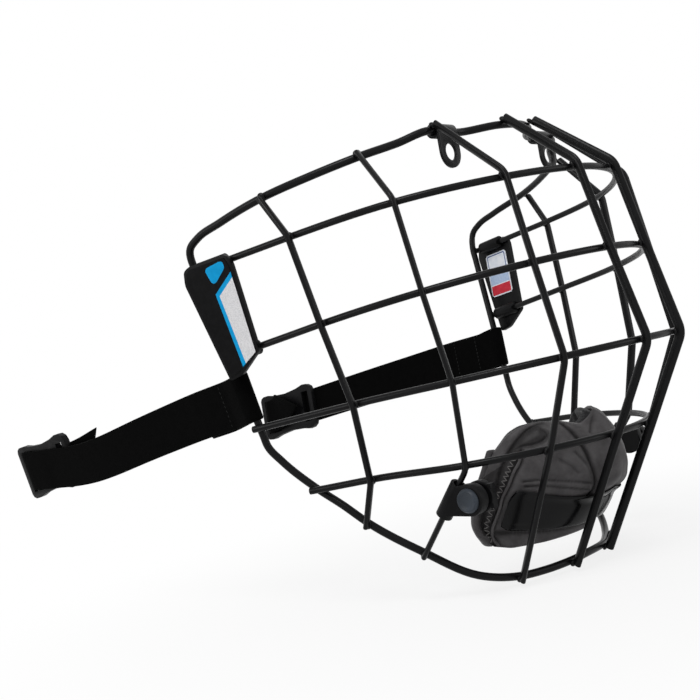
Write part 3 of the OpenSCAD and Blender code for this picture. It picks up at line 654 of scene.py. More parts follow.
for hand, side in SIDES.items():
    bm = bmesh.new()
    print_field(bm, FILM, LABEL_OUT, LABEL_IN, side, 0)
    for outline, slot in ((PANEL, 1), (STRIPE, 2), (BADGE, 2)):
        print_field(bm, outline, LABEL_OUT - INK, LABEL_OUT + INK, side, slot)
    finish_piece(hand + "_label_film", bm,
        [film["black"], film["speckled"], film["blue"]], [hand + "_label"])
bm = bmesh.new()
print_field(bm, STICKER, STICKER_OUT, STICKER_IN, 1, 0)
for outline, slot, coats in STICKER_FIELDS:
    print_field(bm, outline, STICKER_IN - INK, STICKER_IN + coats * INK, 1, slot)
finish_piece("left_sticker_film", bm,
    [film[ink] for ink in ("white", "red", "light_blue", "navy")], ["left_inner_sticker"])
print("Two labels and one sticker")


# %% [markdown]
# ## Webbing straps
# A strap is one length of polypropylene webbing, 19 mm wide. Its end is folded round the rim wire
# and sewn to itself, then the strap runs back to a buckle, turns round the buckle's bar and comes
# forward again as a free tail. So the whole strap is a single section swept along one long path.
# Between its ends it sags a little under its own weight and the buckle's.

# %% Woven webbing
def woven_webbing():
    """Warp and weft from two wave textures on the unrolled strap, 1.3 mm and 1.1 mm apart."""
    material, tree, shader = new_finish("woven_black_polypropylene", 0.78, 1.49, 0.015)
    unrolled = add_node(tree, "ShaderNodeUVMap", {"uv_map": "UVMap"})
    weave = maths(tree, "MULTIPLY", *(add_node(tree, "ShaderNodeTexWave",
        {"bands_direction": direction}, Vector=unrolled.outputs["UV"],
        Scale=pi / 10 / (pitch_mm * MM)).outputs["Fac"]
        for direction, pitch_mm in (("X", 1.3), ("Y", 1.1))))
    shade = maths(tree, "MULTIPLY_ADD", object_grain(tree, 3, 3), 0.35, weave)
    tint(tree, shader, shade, [(0.1, "#050505"), (0.9, "#101010")])
    shader.inputs["Sheen Weight"].default_value = 0.01
    shader.inputs["Sheen Roughness"].default_value = 0.4
    bump(tree, shader, weave, 0.22, 0.7)
    return material


webbing = woven_webbing()
thread = moulded_plastic("black_polyester_thread", "#191919", "#262626", 0.55, 0.7)
thread_grey = moulded_plastic("grey_polyester_thread", "#6c6a69", "#7e7c7b", 0.55, 0.7)
print("For the straps:", [m.name for m in (webbing, thread, thread_grey)])


# %% [markdown]
# The strap's course is drawn from above: how far back and how far inwards, in millimetres from
# the rim wire's axis. A second table says how far it sags. A table is read with a soft turn at
# its points, since webbing doesn't kink. PLY is how far each layer lies from the middle where
# two are sewn together, and PLY_WEDGE is the same at the wedge where they part.

# %% The strap's path
def look_up(table, x):
    """Reads a table of (position, value), straight from point to point."""
    if x <= table[0][0]:
        return table[0][1]
    for (x0, y0), (x1, y1) in zip(table, table[1:]):
        if x <= x1:
            return y0 + (y1 - y0) * (x - x0) / (x1 - x0)
    return table[-1][1]


def soft_look_up(table, x, reach=0.03):
    """The same, averaged over a short stretch, so that no crease shows at the points."""
    low, high = table[0][0], table[-1][0]
    reach = min(reach, x - low, high - x) if low <= x <= high else 0
    return sum(look_up(table, x + reach * k / 3) for k in range(-3, 4)) / 7


def smooth_step(t):
    t = max(0.0, min(1.0, t))
    return t * t * (3 - 2 * t)


STRAP_HINGE = mm(86.6933, 75.1122, -76.9694)
STRAP_BACK = Vector((-0.019996, 0.991916, -0.125308))
STRAP_UP = Vector((0.125842, 0.126833, 0.983909))
STRAP_IN = STRAP_UP.cross(STRAP_BACK)
STRAP_LEN, SEWN, WEB_W, WEB_T = 165, 28, 19, 1.38
LOOP_R, FOLD_R, BAR_Y = 2.5, 2.5, 1.75
LOOP_SLACK, WEDGE_END = 1.2, 9
LOOP_LEAN, LEAN_LEN = 0.0592, 15
PLY, PLY_WEDGE, SAG_SOFT = 0.75, 0.8, 14
WEB_FLAT, SELVEDGE = 0.92, (0.7, 0.985)
SAG = {"right": [(0, 0), (32, 0.8), (75, 2.7), (102, 4.6), (124, 4.4), (146, 1.7), (165, -1.0),
    (170, -1.0)],
    "left": [(0, 0), (28, -0.4), (80, -0.5), (130, 0), (165, 0), (170, 0)]}


def arc(x, y, radius, start, stop, steps=16):
    angles = [radians(start + (stop - start) * k / steps) for k in range(steps + 1)]
    return [(x + radius * cos(a), y + radius * sin(a)) for a in angles]


def run(start, stop, step=3):
    count = max(1, round(dist(start, stop) / step))
    return [(start[0] + (stop[0] - start[0]) * k / count,
        start[1] + (stop[1] - start[1]) * k / count) for k in range(1, count)]


def strap_outline(tail):
    """The strap seen from above, as (back, in) in mm: sewn end, loop, run, fold and tail."""
    sewn, loop_in, loop_out = (SEWN, PLY), (LOOP_SLACK, LOOP_R), (LOOP_SLACK, -LOOP_R)
    wedge_in, wedge_out = (WEDGE_END, PLY_WEDGE), (WEDGE_END, -PLY_WEDGE)
    fold, end = arc(STRAP_LEN, BAR_Y, FOLD_R, -90, 90), (STRAP_LEN - tail, BAR_Y + FOLD_R)
    return [sewn, *run(sewn, (WEDGE_END, PLY)), wedge_in, *run(wedge_in, loop_in, 2), loop_in,
        *arc(0, 0, LOOP_R, 90, 270), loop_out, *run(loop_out, wedge_out, 0.5), wedge_out,
        *run(wedge_out, (STRAP_LEN, -PLY)), *fold, *run(fold[-1], end), end]


def sag_at(x, hand):
    """How far the strap hangs below its chord. It leaves the loop square to the rim wire."""
    x = max(0.0, min(x, STRAP_LEN))
    lean = LOOP_LEAN * x * exp(-(x / LEAN_LEN) ** 2)
    return -lean - soft_look_up(SAG[hand], x, SAG_SOFT)


def strap_point(x, y, z, side):
    return to_side(STRAP_HINGE + (STRAP_BACK * x + STRAP_IN * y + STRAP_UP * z) * MM, side)


def webbing_section():
    """A flat section with rounded selvedges. It is flat over the share WEB_FLAT of its width."""
    half_w, half_t = WEB_W / 2 * MM, WEB_T / 2 * MM
    flat = [-WEB_FLAT + 2 * WEB_FLAT * k / 10 for k in range(11)]
    right = [(half_t, half_w * w) for w in flat]
    left = [(-half_t, half_w * w) for w in reversed(flat)]
    x, y = half_t * SELVEDGE[0], half_w * SELVEDGE[1]
    cap = [(x, y), (0, half_w), (-x, y)]
    return right + cap + left + [(-x, -y) for x, y in cap]


# %% [markdown]
# The path is pressed into small ribs where the webbing leaves the loop, and it waves a little on
# its way. The tail is free, so it twists, stands off and rises towards its slanted end.

# %% Straps
RIB_DEEP, RIB_WAVES = 0.35, 7
RIPPLE, RIPPLE_LEN, RIPPLE_START, RIPPLE_END = 0.35, 17, 30, 150
SEWN_LOW, SEWN_START, SEWN_EASE = 0.9, 6, 8
TAIL_TWIST, CURL_POWER, SMOOTH_PASSES = radians(14), 1.6, 2


def make_strap(hand, side, tail, curl_len, lift, flare, cut):
    """The tail's last curl_len mm rise by lift and stand off by flare. cut is its end's slant."""
    outline = strap_outline(tail)
    fold_at = max(range(len(outline)), key=lambda k: outline[k][0])
    loop_at = min(range(len(outline)), key=lambda k: outline[k][0])
    path, turns = [], []
    for k, (x, y) in enumerate(outline):
        z = sag_at(x, hand)
        curl = 0.0
        if k > fold_at:
            along = 1 - (x - (STRAP_LEN - tail)) / curl_len
            curl = max(0.0, min(1.0, along)) ** CURL_POWER
            y += flare * curl
            z += lift * curl
        elif k < loop_at:
            z -= SEWN_LOW * smooth_step((x - SEWN_START) / SEWN_EASE)
        elif LOOP_SLACK < x < WEDGE_END:
            wave = pi * (x - LOOP_SLACK) / (WEDGE_END - LOOP_SLACK) * RIB_WAVES
            y -= RIB_DEEP * sin(wave) ** 2
        elif RIPPLE_START < x < RIPPLE_END:
            y += RIPPLE * sin(x / RIPPLE_LEN + side)
        path.append(strap_point(x, y, z, side))
        turns.append(curl)
    for _ in range(SMOOTH_PASSES):
        path = [path[0]] + [(a + b * 2 + c) / 4
            for a, b, c in zip(path, path[1:], path[2:])] + [path[-1]]
    up = to_side(STRAP_UP, side)
    places = []
    for k, point in enumerate(path):
        ahead = heading(path, k)
        place = path_place(point, ahead, up.cross(ahead))
        slant = Matrix.Identity(4)
        slant[2][1] = cut * turns[k]
        places.append(place @ Matrix.Rotation(TAIL_TWIST * turns[k], 4, "Z") @ slant)
    bm = bmesh.new()
    section = webbing_section()
    rings = sweep(bm, section, places)
    lay_uv(bm, rings, section)
    finish_piece(hand + "_webbing", bm, [webbing], [hand + "_strap"])


make_strap("right", -1, tail=46, curl_len=28, lift=3.2, flare=1.5, cut=1.3)
make_strap("left", 1, tail=19, curl_len=15, lift=6.0, flare=4.0, cut=-0.6)
print("Two straps of", STRAP_LEN, "mm from loop to fold")


# %% [markdown]
# Rows of stitches hold the doubled stretch together. A stitch is a small grain of thread that
# lies half sunk in the webbing, so a stretched icosphere is enough for each.

# %% Stitches on the straps
STITCH_R, STITCH_LONG, STITCH_PITCH = 0.2, 0.72, 1.9
NEAR_ROW, FAR_ROW, HALF_ROW, STITCH_OUT = 12.4, 25.5, 4, 0.1


def lay_stitch(bm, centre, along, out, half_long=STITCH_LONG):
    add_bead(bm, path_place(centre, along, out), STITCH_R * MM, half_long * MM, 1)


for hand, side in SIDES.items():
    bm = bmesh.new()
    up, inward = to_side(STRAP_UP, side), to_side(STRAP_IN, side)
    for face in (-1, 1):
        height = face * (WEB_T + STITCH_OUT)
        for x in (NEAR_ROW, FAR_ROW) if face > 0 else (NEAR_ROW,):
            for k in range(-HALF_ROW, HALF_ROW + 1):
                spot = strap_point(x, height, k * STITCH_PITCH + sag_at(x, hand), side)
                lay_stitch(bm, spot, up, inward)
    finish_piece(hand + "_strap_stitches", bm, [thread], body=hand + "_strap_loop")
print("Stitches on both straps")


# %% [markdown]
# ## The chin cup
# The cup is foam and synthetic leather, pressed together in a heated mould. The mould gives it
# its bulge, its sewn lines and its pillow-like fields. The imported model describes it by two
# numbers: u goes from -1 at the wearer's right end to 1 at the left end, and v from 0 at the top
# edge to 1 at the bottom. The same tables are written here, so the soft cup fills the same space.

# %% The cup's surface
SNAP = (61.6071, -2.92135, -124.549)
CUP_HALF_W, CUP_DEPTH, CUP_WING, CUP_ABOVE, CUP_BELOW = 42, 26.8, 15.6, 21, 26
CUP_REACH = [(0, 0.71), (0.07, 0.88), (0.18, 0.98), (0.3, 1), (0.42, 0.93), (0.48, 0.8),
    (0.54, 0.6), (0.6, 0.55), (0.79, 0.37), (0.9, 0.26), (1, 0.16)]
CUP_BACK = [(0, 0.5), (0.3, 0.72), (0.54, 0.91), (0.79, 1), (0.9, 0.95), (1, 0.7)]
CUP_WIDTH = [(0, 0.8), (0.18, 0.88), (0.3, 0.92), (0.54, 1), (0.79, 1), (1, 0.92)]
CUP_DIP = [(0, 0), (0.12, 2.5), (0.25, 4.5), (0.45, 2), (0.65, 1), (0.8, 1.5), (0.9, 3.5), (1, 9)]
CUP_RISE = [(0, 0), (0.5, 0), (0.85, 1), (1, 3)]
CUP_ROUND, CUP_TURN, CUP_SAG, SAG_FALL = 0.43, 0.12, 0.16, 1.3
SHELL_T, LINER_T, LAYER_GAP, BAND_T = 3.5, 4.5, 0.15, 1.2
CUP_HIGH, CUP_ALONG = 46, 36
PLAN_FULL = sqrt(CUP_ROUND ** 2 + 1) - CUP_ROUND


def plan(a):
    """The cup's outline from above, from 0 at its front to 1 at its ends, and its slope."""
    root = sqrt(CUP_ROUND ** 2 + a * a)
    return (CUP_TURN * a ** 8 + (1 - CUP_TURN) * (root - CUP_ROUND) / PLAN_FULL,
        CUP_TURN * 8 * a ** 7 + (1 - CUP_TURN) * a / root / PLAN_FULL)


def cup_point(u, v, inset=0.0):
    """A point on the cup in metres. inset is how far it lies under the outer surface, in mm."""
    f = sin(pi / 2 * max(-1.0, min(1.0, u)))
    a = abs(f)
    half_w = CUP_HALF_W * soft_look_up(CUP_WIDTH, v)
    front = CUP_DEPTH * soft_look_up(CUP_REACH, v)
    whole = front + CUP_WING * soft_look_up(CUP_BACK, v)
    reach, slope = plan(a)
    outward = Vector((whole * slope * copysign(1, f), -half_w, 0)).normalized()
    top = SNAP[2] + CUP_ABOVE - soft_look_up(CUP_DIP, a)
    low = SNAP[2] - CUP_BELOW + soft_look_up(CUP_RISE, a)
    down = v + CUP_SAG * (1 - SAG_FALL * a * a) * sin(pi * v)
    return (Vector((half_w * f, SNAP[1] - front + whole * reach, top + (low - top) * down))
        - outward * inset) * MM


# %% [markdown]
# Seams are drawn as chains of points in u and v on the wearer's right half, and mirrored. Each
# has a reach and a depth in millimetres. Near a chain the padding is pulled in, which makes a
# groove. A tree of each chain's points finds the nearest one quickly.

# %% The cup's seams
SEAMS = {
    "front": ([(-0.31, 0.0), (-0.29, 0.045), (-0.265, 0.11), (-0.235, 0.21), (-0.22, 0.285),
        (-0.2, 0.36), (-0.19, 0.43), (-0.185, 0.49)], 1.3, 2.0),
    "inner": ([(-0.3, 0.195), (-0.27, 0.235), (-0.24, 0.29), (-0.215, 0.38), (-0.2, 0.44)],
        0.9, 1.1),
    "crease": ([(-0.38, 0.25), (-0.335, 0.28), (-0.29, 0.33)], 0.8, 0.9),
    "fold": ([(-0.56, 0.415), (-0.49, 0.4), (-0.4, 0.395), (-0.26, 0.395), (-0.21, 0.4)],
        0.9, 1.2),
    "low_fold": ([(-0.54, 0.45), (-0.46, 0.44), (-0.32, 0.44), (-0.21, 0.445)], 0.9, 1.2),
    "facet": ([(-0.455, 0.0), (-0.455, 0.04), (-0.43, 0.085), (-0.45, 0.115), (-0.525, 0.145),
        (-0.61, 0.15), (-0.68, 0.16)], 1.0, 1.5),
    "notch": ([(-0.02, 0.0), (-0.06, 0.012), (-0.11, 0.03), (-0.16, 0.06)], 1.0, 1.3),
    "piping": ([(-0.6, 0.17), (-0.61, 0.255), (-0.635, 0.325), (-0.65, 0.44), (-0.655, 0.585),
        (-0.7, 0.75), (-0.78, 0.915), (-0.81, 1.0)], 1.4, 1.6),
    "binding": ([(-0.42, 0.0), (-0.55, 0.045), (-0.645, 0.11), (-0.69, 0.17), (-0.72, 0.255),
        (-0.735, 0.465), (-0.79, 0.66), (-0.84, 0.86), (-0.87, 1.0)], 1.4, 2.0),
    # the groove just under the band's lower edge, painted dark as the shade under it
    "under": ([(-0.75, 0.86), (-0.66, 0.85), (-0.57, 0.845), (-0.33, 0.85), (-0.1, 0.855),
        (0.0, 0.855)], 1.5, 1.4)}
CHAIN_STEPS = 10


def chain_points(chain):
    """A smooth chain of points in u and v, close enough together to measure from."""
    path = smooth_path([Vector((u, v, 0)) for u, v in chain], CHAIN_STEPS)
    return [(p.x, p.y) for p in path]


seam_trees = []
for chain, reach, depth in SEAMS.values():
    spots = chain_points(chain)
    tree = KDTree(len(spots))
    for k, (u, v) in enumerate(spots):
        tree.insert(cup_point(u, v) / MM, k)
    tree.balance()
    seam_trees.append((tree, reach, depth))
print("Seam lines:", len(seam_trees))


# %% [markdown]
# A padded layer of the cup is two fine grids, one for each of its faces. Both are bent onto the
# cup, and they meet round the border in a half-round edge, where their doubles are merged.
# The grooves are only pressed into the outer one, and the fields between them stay full. A
# groove is a narrow part within a broad one. Each has its share of the seam's depth, and a reach
# in times the seam's own.
# The middle of each groove is also painted darker, as shade.

# %% A padded layer
NARROW, BROAD, DARK_REACH, GROOVE_END = (0.6, 0.7), (0.4, 2.2), 0.6, 6
SOFT_CREASE, MERGE_CUP = radians(80), 0.01 * MM
COVER_EDGE, LINER_EDGE, FULL_PRESS = 2.2, 2.4, 1.1


def groove_at(point):
    """How deep the seams pull the padding in at a point of the cup, in mm, and its painted shade.
    """
    near = Vector((-abs(point.x), point.y, point.z)) / MM
    pull = dark = 0.0
    for tree, reach, depth in seam_trees:
        gap = tree.find(near)[2] / reach
        if gap < GROOVE_END:
            pull = max(pull, depth * sum(share * exp(-(gap / spread) ** 2)
                for share, spread in (NARROW, BROAD)))
            # painted shade: the middle of each groove is darkened
            dark = max(dark, depth * exp(-(gap / DARK_REACH) ** 2) / 2)
    return pull, min(1.0, dark)


def edge_swell(s, t, high_mm, half_wide_mm, edge_mm):
    """0 on the border of a sheet and 1 away from it, along a quarter of a circle."""
    gap = min(t * high_mm, (1 - t) * high_mm, (1 - abs(s)) * half_wide_mm)
    return sqrt(1 - (1 - max(0.0, min(1.0, gap / edge_mm))) ** 2)


def padded_layer(front, rear, press, across, down, edge_mm):
    """A layer between two insets. press(u, v, point, outer) gives more inset in mm, and shade."""
    bm = bmesh.new()
    groove_shade_and_tape = bm.verts.layers.float.new("groove_shade_and_tape")
    middle = (front + rear) / 2
    for outer, inset in ((True, front), (False, rear)):
        made = bmesh.ops.create_grid(bm, x_segments=across, y_segments=down, size=1)["verts"]
        for vert in made:
            u, v = vert.co.x, (1 - vert.co.y) / 2
            swell = edge_swell(u, v, CUP_HIGH, CUP_ALONG, edge_mm)
            bare = cup_point(u, v, middle + (inset - middle) * swell)
            # press also gives the grooves' painted shade and the darker tape
            extra, vert[groove_shade_and_tape] = press(u, v, bare, outer)
            extra *= min(1.0, swell * FULL_PRESS)
            vert.co = cup_point(u, v, middle + (inset - middle) * swell + extra)
    merge(bm, MERGE_CUP)
    return bm


# %% [markdown]
# The cover is a thin synthetic leather over the foam, charcoal and only faintly shiny. Its grain
# is about half a millimetre across, and its roughness varies in patches a few millimetres wide.

# %% Cover, edge roll, band and liner finishes
def synthetic_leather(name, low, high, rough_low, rough_high):
    """An attribute darkens it: painted shade in the grooves, up to 1, and the tape drawn darker.
    """
    material, tree, shader = new_finish(name, 0.5, 1.47, 0.14)
    grain = object_grain(tree, 0.55, 3)
    folds = object_grain(tree, 5, 4)
    base = ramp(tree, folds, [(0.3, low), (0.75, high)])
    groove_shade_and_tape = add_node(tree, "ShaderNodeAttribute", {"attribute_name": "groove_shade_and_tape"})
    # painted shade: the attribute mixes the colour towards near black
    shade = add_node(tree, "ShaderNodeMix", {"data_type": "RGBA"}, _0=groove_shade_and_tape.outputs["Fac"],
        _6=base, _7=colour("#0b0a0a"))
    tree.links.new(shade.outputs[2], shader.inputs["Base Color"])
    vary_roughness(tree, shader, folds, rough_low, rough_high)
    bump(tree, shader, maths(tree, "MULTIPLY_ADD", folds, 2.0, grain), 0.11, 0.5)
    return material


def knitted_lining(name, low, high):
    """Knitted loops, 1.1 mm apart."""
    material, tree, shader = new_finish(name, 0.85, 1.45, 0.15)
    loops = add_node(tree, "ShaderNodeTexVoronoi", Vector=object_place(tree),
        Scale=1 / (1.1 * MM)).outputs["Distance"]
    tint(tree, shader, loops, [(0.15, high), (0.75, low)])
    shader.inputs["Sheen Weight"].default_value = 0.2
    shader.inputs["Sheen Roughness"].default_value = 0.5
    bump(tree, shader, loops, -0.3, 0.5)
    return material


cover_leather = synthetic_leather("charcoal_synthetic_leather", "#3f3d3e", "#565455", 0.36, 0.52)
edge_leather = synthetic_leather("charcoal_neoprene_edge", "#393738", "#4a4849", 0.42, 0.56)
lining = knitted_lining("charcoal_knitted_lining", "#1b1b1c", "#2c2c2e")
band_black = moulded_plastic("glossy_black_urethane_film", "#070708", "#0c0c0d", 0.16, 0.24, 0.14)
print("For the cup:", [m.name for m in (cover_leather, edge_leather, lining, band_black)])


# %% [markdown]
# The cover is full between its seams. It is drawn darker from its piping back: on the tape there,
# on the facet above it, and lower down all the way to its rear edge. The lining behind it is a
# thick pad with two upright channels on each side, and a level one across it.

# %% Chin cup cover and lining
TAPE_DARK, TAPE_BLEND = 0.62, 0.012
TAPE_FRONT = [(0, 0.455), (0.04, 0.455), (0.085, 0.43), (0.115, 0.45), (0.145, 0.53), (0.16, 0.6),
    (0.255, 0.625), (0.325, 0.645), (0.44, 0.66), (0.585, 0.67), (0.75, 0.715), (0.915, 0.79),
    (1, 0.82)]
TAPE_REAR = [(0, 0.42), (0.045, 0.55), (0.11, 0.645), (0.17, 0.69), (0.255, 0.74), (0.3, 1.1),
    (1, 1.1)]
BELLY, BELLY_START, BELLY_WIDE = 0.35, 0.1, 0.5
CHANNELS, CHANNEL_WIDE, CHANNEL_DEEP = (0.3, 0.62), 0.022, 1.3
LEVEL, LEVEL_WIDE, LEVEL_DEEP = 0.5, 0.03, 0.5


def tape_shade(u, v):
    """Drawn darker: the tape behind the piping, the facet above it, and lower down all the way
    back.
    """
    front, rear = look_up(TAPE_FRONT, v), look_up(TAPE_REAR, v)
    return TAPE_DARK * smooth_step((abs(u) - front) / TAPE_BLEND) \
        * smooth_step((rear - abs(u)) / TAPE_BLEND)


def press_cover(u, v, point, outer):
    if not outer:
        return 0.0, 0.0
    across = min(1.0, max(0.0, (abs(u) - BELLY_START) / BELLY_WIDE))
    belly = BELLY * sin(pi * across)
    # groove_at gives the depth and the painted shade of the grooves
    pull, dark = groove_at(point)
    return pull + BELLY - belly, max(dark, tape_shade(u, v))


cup_fine = ((260, 130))
bm = padded_layer(0, SHELL_T, press_cover, *cup_fine, COVER_EDGE)
cover = finish_piece("chin_cup_cover", bm, [cover_leather], ["chin_cup"], crease=SOFT_CREASE)


def press_liner(u, v, point, outer):
    if outer:
        return 0.0, 0.0
    pull = max(exp(-((abs(u) - c) / CHANNEL_WIDE) ** 2) for c in CHANNELS)
    level = exp(-((v - LEVEL) / LEVEL_WIDE) ** 2)
    return -CHANNEL_DEEP * pull - LEVEL_DEEP * level, 0.0


liner_front = SHELL_T + LAYER_GAP
bm = padded_layer(liner_front, liner_front + LINER_T, press_liner,
    cup_fine[0] // 2, cup_fine[1] // 2, LINER_EDGE)
liner = finish_piece("chin_cup_lining", bm, [lining], ["chin_liner"], crease=SOFT_CREASE)
print("Cover and lining of the chin cup")


# %% [markdown]
# The band across the front is a smooth, glossy sheet of urethane film, sewn on over the lower
# half. It is the same kind of layer, cut to its own outline and laid just outside the cover.

# %% Front band
BAND_LOW = [(0, 0.815), (0.15, 0.815), (0.5, 0.825), (0.75, 0.828), (0.93, 0.825), (1, 0.785)]
BAND_TOP = [(0, 0.487), (0.27, 0.492), (0.5, 0.505), (0.67, 0.5), (0.84, 0.484), (1, 0.48)]
BAND_HIGH, BAND_ALONG, BAND_EDGE = 15, 26, 0.8
BAND_HALF, BAND_FLARE = 0.585, 0.07
LEDGE, LEDGE_LOW, LEDGE_SIDE = 0.5, (0.79, 0.05), (0.66, 0.1)
middle = -BAND_T / 2 - LAYER_GAP

bm = bmesh.new()
for outer in (-BAND_T - LAYER_GAP, -LAYER_GAP):
    for vert in bmesh.ops.create_grid(bm, x_segments=120, y_segments=30, size=1)["verts"]:
        s, t = vert.co.x, (1 - vert.co.y) / 2
        u = s * (BAND_HALF + BAND_FLARE * t)
        top, low = soft_look_up(BAND_TOP, abs(s)), soft_look_up(BAND_LOW, abs(s))
        swell = edge_swell(s, t, BAND_HIGH, BAND_ALONG, BAND_EDGE)
        if outer < middle:
            swell -= LEDGE * smooth_step((t - LEDGE_LOW[0]) / LEDGE_LOW[1]) \
                * smooth_step((abs(s) - LEDGE_SIDE[0]) / LEDGE_SIDE[1])
        vert.co = cup_point(u, top + (low - top) * t, middle + (outer - middle) * swell)
merge(bm, MERGE_CUP)
finish_piece("chin_front_band", bm, [band_black], ["chin_band"], crease=SOFT_CREASE)
print("The front band, with a low ledge along its lower corners")


# %% [markdown]
# A thick neoprene roll binds the rear edges of cover and lining together, and a thin piping runs
# along the side seam. Both are oval sections swept up the cup's side. Between them, a zigzag
# stitch holds the tape.

# %% Edge roll, piping and zigzag stitches
TAPER_PLACES, TAPER_START, NUDGE = 4, 0.35, 0.004
ROLL_U, ROLL_INSET, ROLL_STEPS, ROLL = -0.955, 4.1, 60, (4.0 * MM, 1.9 * MM, 24)
PIPING_INSET, PIPING = 0.35, (0.5 * MM, 0.55 * MM, 10)
ZIGZAG_PITCH, ZIGZAG_LONG, ZIGZAG_SLANT, ZIGZAG_INSET = 0.85, 1.2, 0.5, 0.3


def cup_normal(u, v):
    across = cup_point(u + NUDGE, v) - cup_point(u - NUDGE, v)
    down = cup_point(u, min(1, v + NUDGE)) - cup_point(u, max(0, v - NUDGE))
    return across.cross(down).normalized() * -1


def cup_sweep(name, spots, oval, material):
    """An oval section along spots of (u, v, inset), with its ends tapered over a few places."""
    for hand, side in SIDES.items():
        path = [to_side(cup_point(u, v, inset), -side) for u, v, inset in spots]
        places = []
        for k, p in enumerate(path):
            fade = min(1.0, (min(k, len(path) - 1 - k) + TAPER_START) / TAPER_PLACES)
            out = to_side(cup_normal(*spots[k][:2]), -side)
            places.append(path_place(p, heading(path, k), out, sin(pi / 2 * fade)))
        bm = bmesh.new()
        sweep(bm, oval_section(*oval), places)
        piece = finish_piece(f"{hand}_{name}", bm, [material], body="chin_cup_body",
            crease=SOFT_CREASE)


cup_sweep("chin_edge_roll",
    [(ROLL_U, k / ROLL_STEPS, ROLL_INSET) for k in range(ROLL_STEPS + 1)], ROLL, edge_leather)
piping = chain_points(SEAMS["piping"][0])[1:-1]
cup_sweep("chin_piping", [(u, v, PIPING_INSET) for u, v in piping], PIPING, cover_leather)

bm_stitch = {side: bmesh.new() for side in SIDES.values()}
tape = chain_points([(-0.645, 0.2), (-0.657, 0.245), (-0.675, 0.315), (-0.688, 0.405),
    (-0.693, 0.525), (-0.735, 0.66), (-0.785, 0.785), (-0.825, 0.94)])
walked, count = 0.0, 0
for (u0, v0), (u1, v1) in zip(tape, tape[1:]):
    a, b = cup_point(u0, v0, ZIGZAG_INSET), cup_point(u1, v1, ZIGZAG_INSET)
    walked += (b - a).length / MM
    if walked < ZIGZAG_PITCH:
        continue
    walked, count = 0.0, count + 1
    out = cup_normal(u1, v1)
    along = (b - a).normalized()
    turn = 1 if count % 2 else -1
    aslant = (out.cross(along) * turn + along * ZIGZAG_SLANT).normalized()
    for side, bm in bm_stitch.items():
        lay_stitch(bm, *(to_side(p, -side) for p in (b, aslant, out)), ZIGZAG_LONG)
for hand, side in SIDES.items():
    finish_piece(f"{hand}_chin_zigzag", bm_stitch[side], [thread_grey],
        body="chin_cup_body")
print("Edge rolls, piping and", count, "zigzag stitches a side")


# %% [markdown]
# ## The snaps
# A snap has a dished cap, a stud and a small inner head, all turned about one axis. So its
# outline is drawn once, from the cap's middle to the head's, and spun round.

# %% Snaps
SNAP_OUTLINE = [(4.25, 0), (4.25, 1.4), (4.32, 2.2), (4.55, 2.9), (4.73, 3.3), (4.7, 3.65),
    (4.3, 4.05), (3.75, 4.3), (3.3, 4.4), (3.08, 4.32), (3.0, 4.1), (3.0, 2.5), (-6.4, 2.5),
    (-6.4, 3.2), (-6.5, 3.3), (-7.3, 3.3), (-7.55, 3.1), (-7.6, 2.6), (-7.6, 0)]
SNAP_STEPS, SNAP_MERGE, SNAP_CREASE = 56, 0.005 * MM, radians(40)

for hand, side in SIDES.items():
    bm = bmesh.new()
    chain = [bm.verts.new(mm((SNAP[0] + x) * side, SNAP[1], SNAP[2] + r)) for x, r in SNAP_OUTLINE]
    rim = [bm.edges.new(pair) for pair in zip(chain, chain[1:])]
    bmesh.ops.spin(bm, geom=chain + rim, cent=mm(SNAP[0] * side, SNAP[1], SNAP[2]),
        axis=Vector((1, 0, 0)), angle=2 * pi, steps=SNAP_STEPS, use_merge=True)
    merge(bm, SNAP_MERGE)
    finish_piece(hand + "_snap_part", bm, [snap_grey], [hand + "_snap"],
        crease=SNAP_CREASE)
print("Two snaps")


# %% [markdown]
# ## Floor and light
# The photograph has a white ground and no hard shadow. The floor is a plain white sheet just
# under the cage. Far from the cage it shines at strength 1 to the camera, which is white. Near
# the cage a part of it is plain reflection, so it keeps a soft shadow.

# %% Floor
FLOOR_Z, FLOOR_HALF = cad_box[0][2] - 1.5 * MM, 8
SHADE_NEAR, SHADE_FAR, GLOW_NEAR, SKY_DIM = 0.1, 0.32, 0.78, 0.24

bm = bmesh.new()
bmesh.ops.create_grid(bm, x_segments=8, y_segments=8, size=FLOOR_HALF)
bmesh.ops.translate(bm, verts=bm.verts, vec=(0, 0, FLOOR_Z))
mesh = bpy.data.meshes.new("studio_floor")
bm.to_mesh(mesh)
bm.free()
floor = add_object("studio_floor", mesh)


def seen_directly(tree):
    """1 for what the camera sees, straight or in a reflection or through glass."""
    path = add_node(tree, "ShaderNodeLightPath").outputs
    seen = path["Is Camera Ray"]
    for ray in ("Is Glossy Ray", "Is Transmission Ray"):
        seen = maths(tree, "MAXIMUM", seen, path[ray])
    return seen


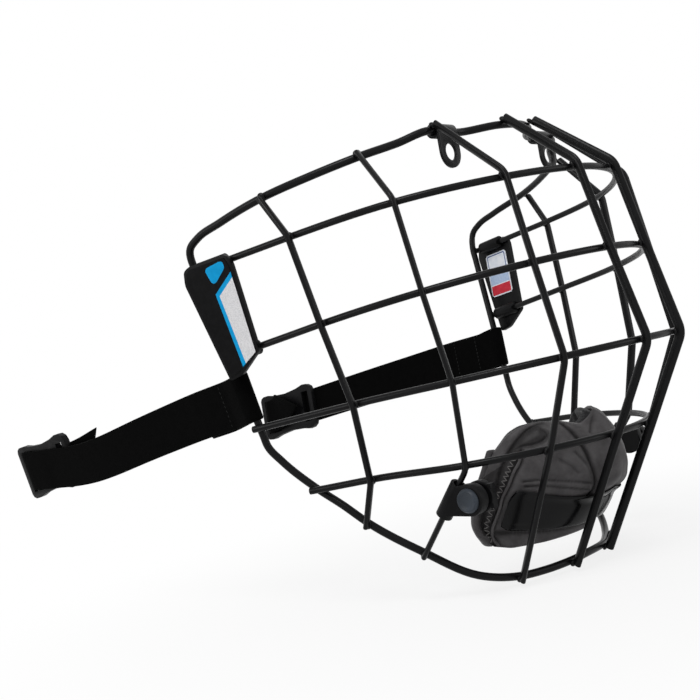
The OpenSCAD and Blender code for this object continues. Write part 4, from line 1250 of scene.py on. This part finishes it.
def floor_paint():
    material, tree, shader = new_finish("matt_white_paper", 0.9, 1.4)
    shader.inputs["Base Color"].default_value = colour("#f4f4f4")
    far = add_node(tree, "ShaderNodeVectorMath", {"operation": "LENGTH"}, _0=object_place(tree))
    fade = add_node(tree, "ShaderNodeMapRange", {"interpolation_type": "SMOOTHSTEP"},
        Value=far.outputs["Value"], From_Min=SHADE_NEAR, From_Max=SHADE_FAR, To_Min=GLOW_NEAR)
    glow = add_node(tree, "ShaderNodeEmission", Color=(1, 1, 1, 1), Strength=1.0)
    amount = maths(tree, "MULTIPLY", seen_directly(tree), fade.outputs["Result"])
    mixed = add_node(tree, "ShaderNodeMixShader", _0=amount,
        _1=shader.outputs["BSDF"], _2=glow.outputs["Emission"])
    tree.links.new(mixed.outputs["Shader"], tree.nodes["Material Output"].inputs["Surface"])
    return material


mesh.materials.append(floor_paint())
print("The floor lies at", round(FLOOR_Z, 4))


# %% [markdown]
# The sky is white where the camera sees it, straight or in a reflection, and dim as a light, so
# it lifts the shadows without washing the blacks out. The key lamp hangs high behind the camera.
# The two others stand far to its left and right and draw a thin light along the wires' sides.

# %% Sky and lamps
world = bpy.data.worlds.new("studio_sky")
world.use_nodes = True
bpy.context.scene.world = world
tree = world.node_tree
level = add_node(tree, "ShaderNodeMapRange", Value=seen_directly(tree), To_Min=SKY_DIM,
    To_Max=1.0)
tree.links.new(level.outputs["Result"], tree.nodes["Background"].inputs["Strength"])
tree.nodes["Background"].inputs["Color"].default_value = (1, 1, 1, 1)


def area_lamp(name, place, aim, size, power):
    data = bpy.data.lights.new(name, "AREA")
    data.shape = "DISK"
    data.size = size
    data.energy = power
    lamp = add_object(name, data)
    lamp.location = place
    lamp.rotation_euler = (Vector(aim) - Vector(place)).to_track_quat("-Z", "Y").to_euler()


area_lamp("key_lamp", (-0.75, -0.4, 1.1), (0, 0.02, -0.07), 0.6, 10)
area_lamp("side_lamp", (-1.2, 0.5, 0.35), (0, 0.05, -0.08), 0.6, 4)
area_lamp("front_lamp", (0.5, -1.2, 0.3), (0, 0, -0.09), 0.7, 3)
print("A sky and three lamps")
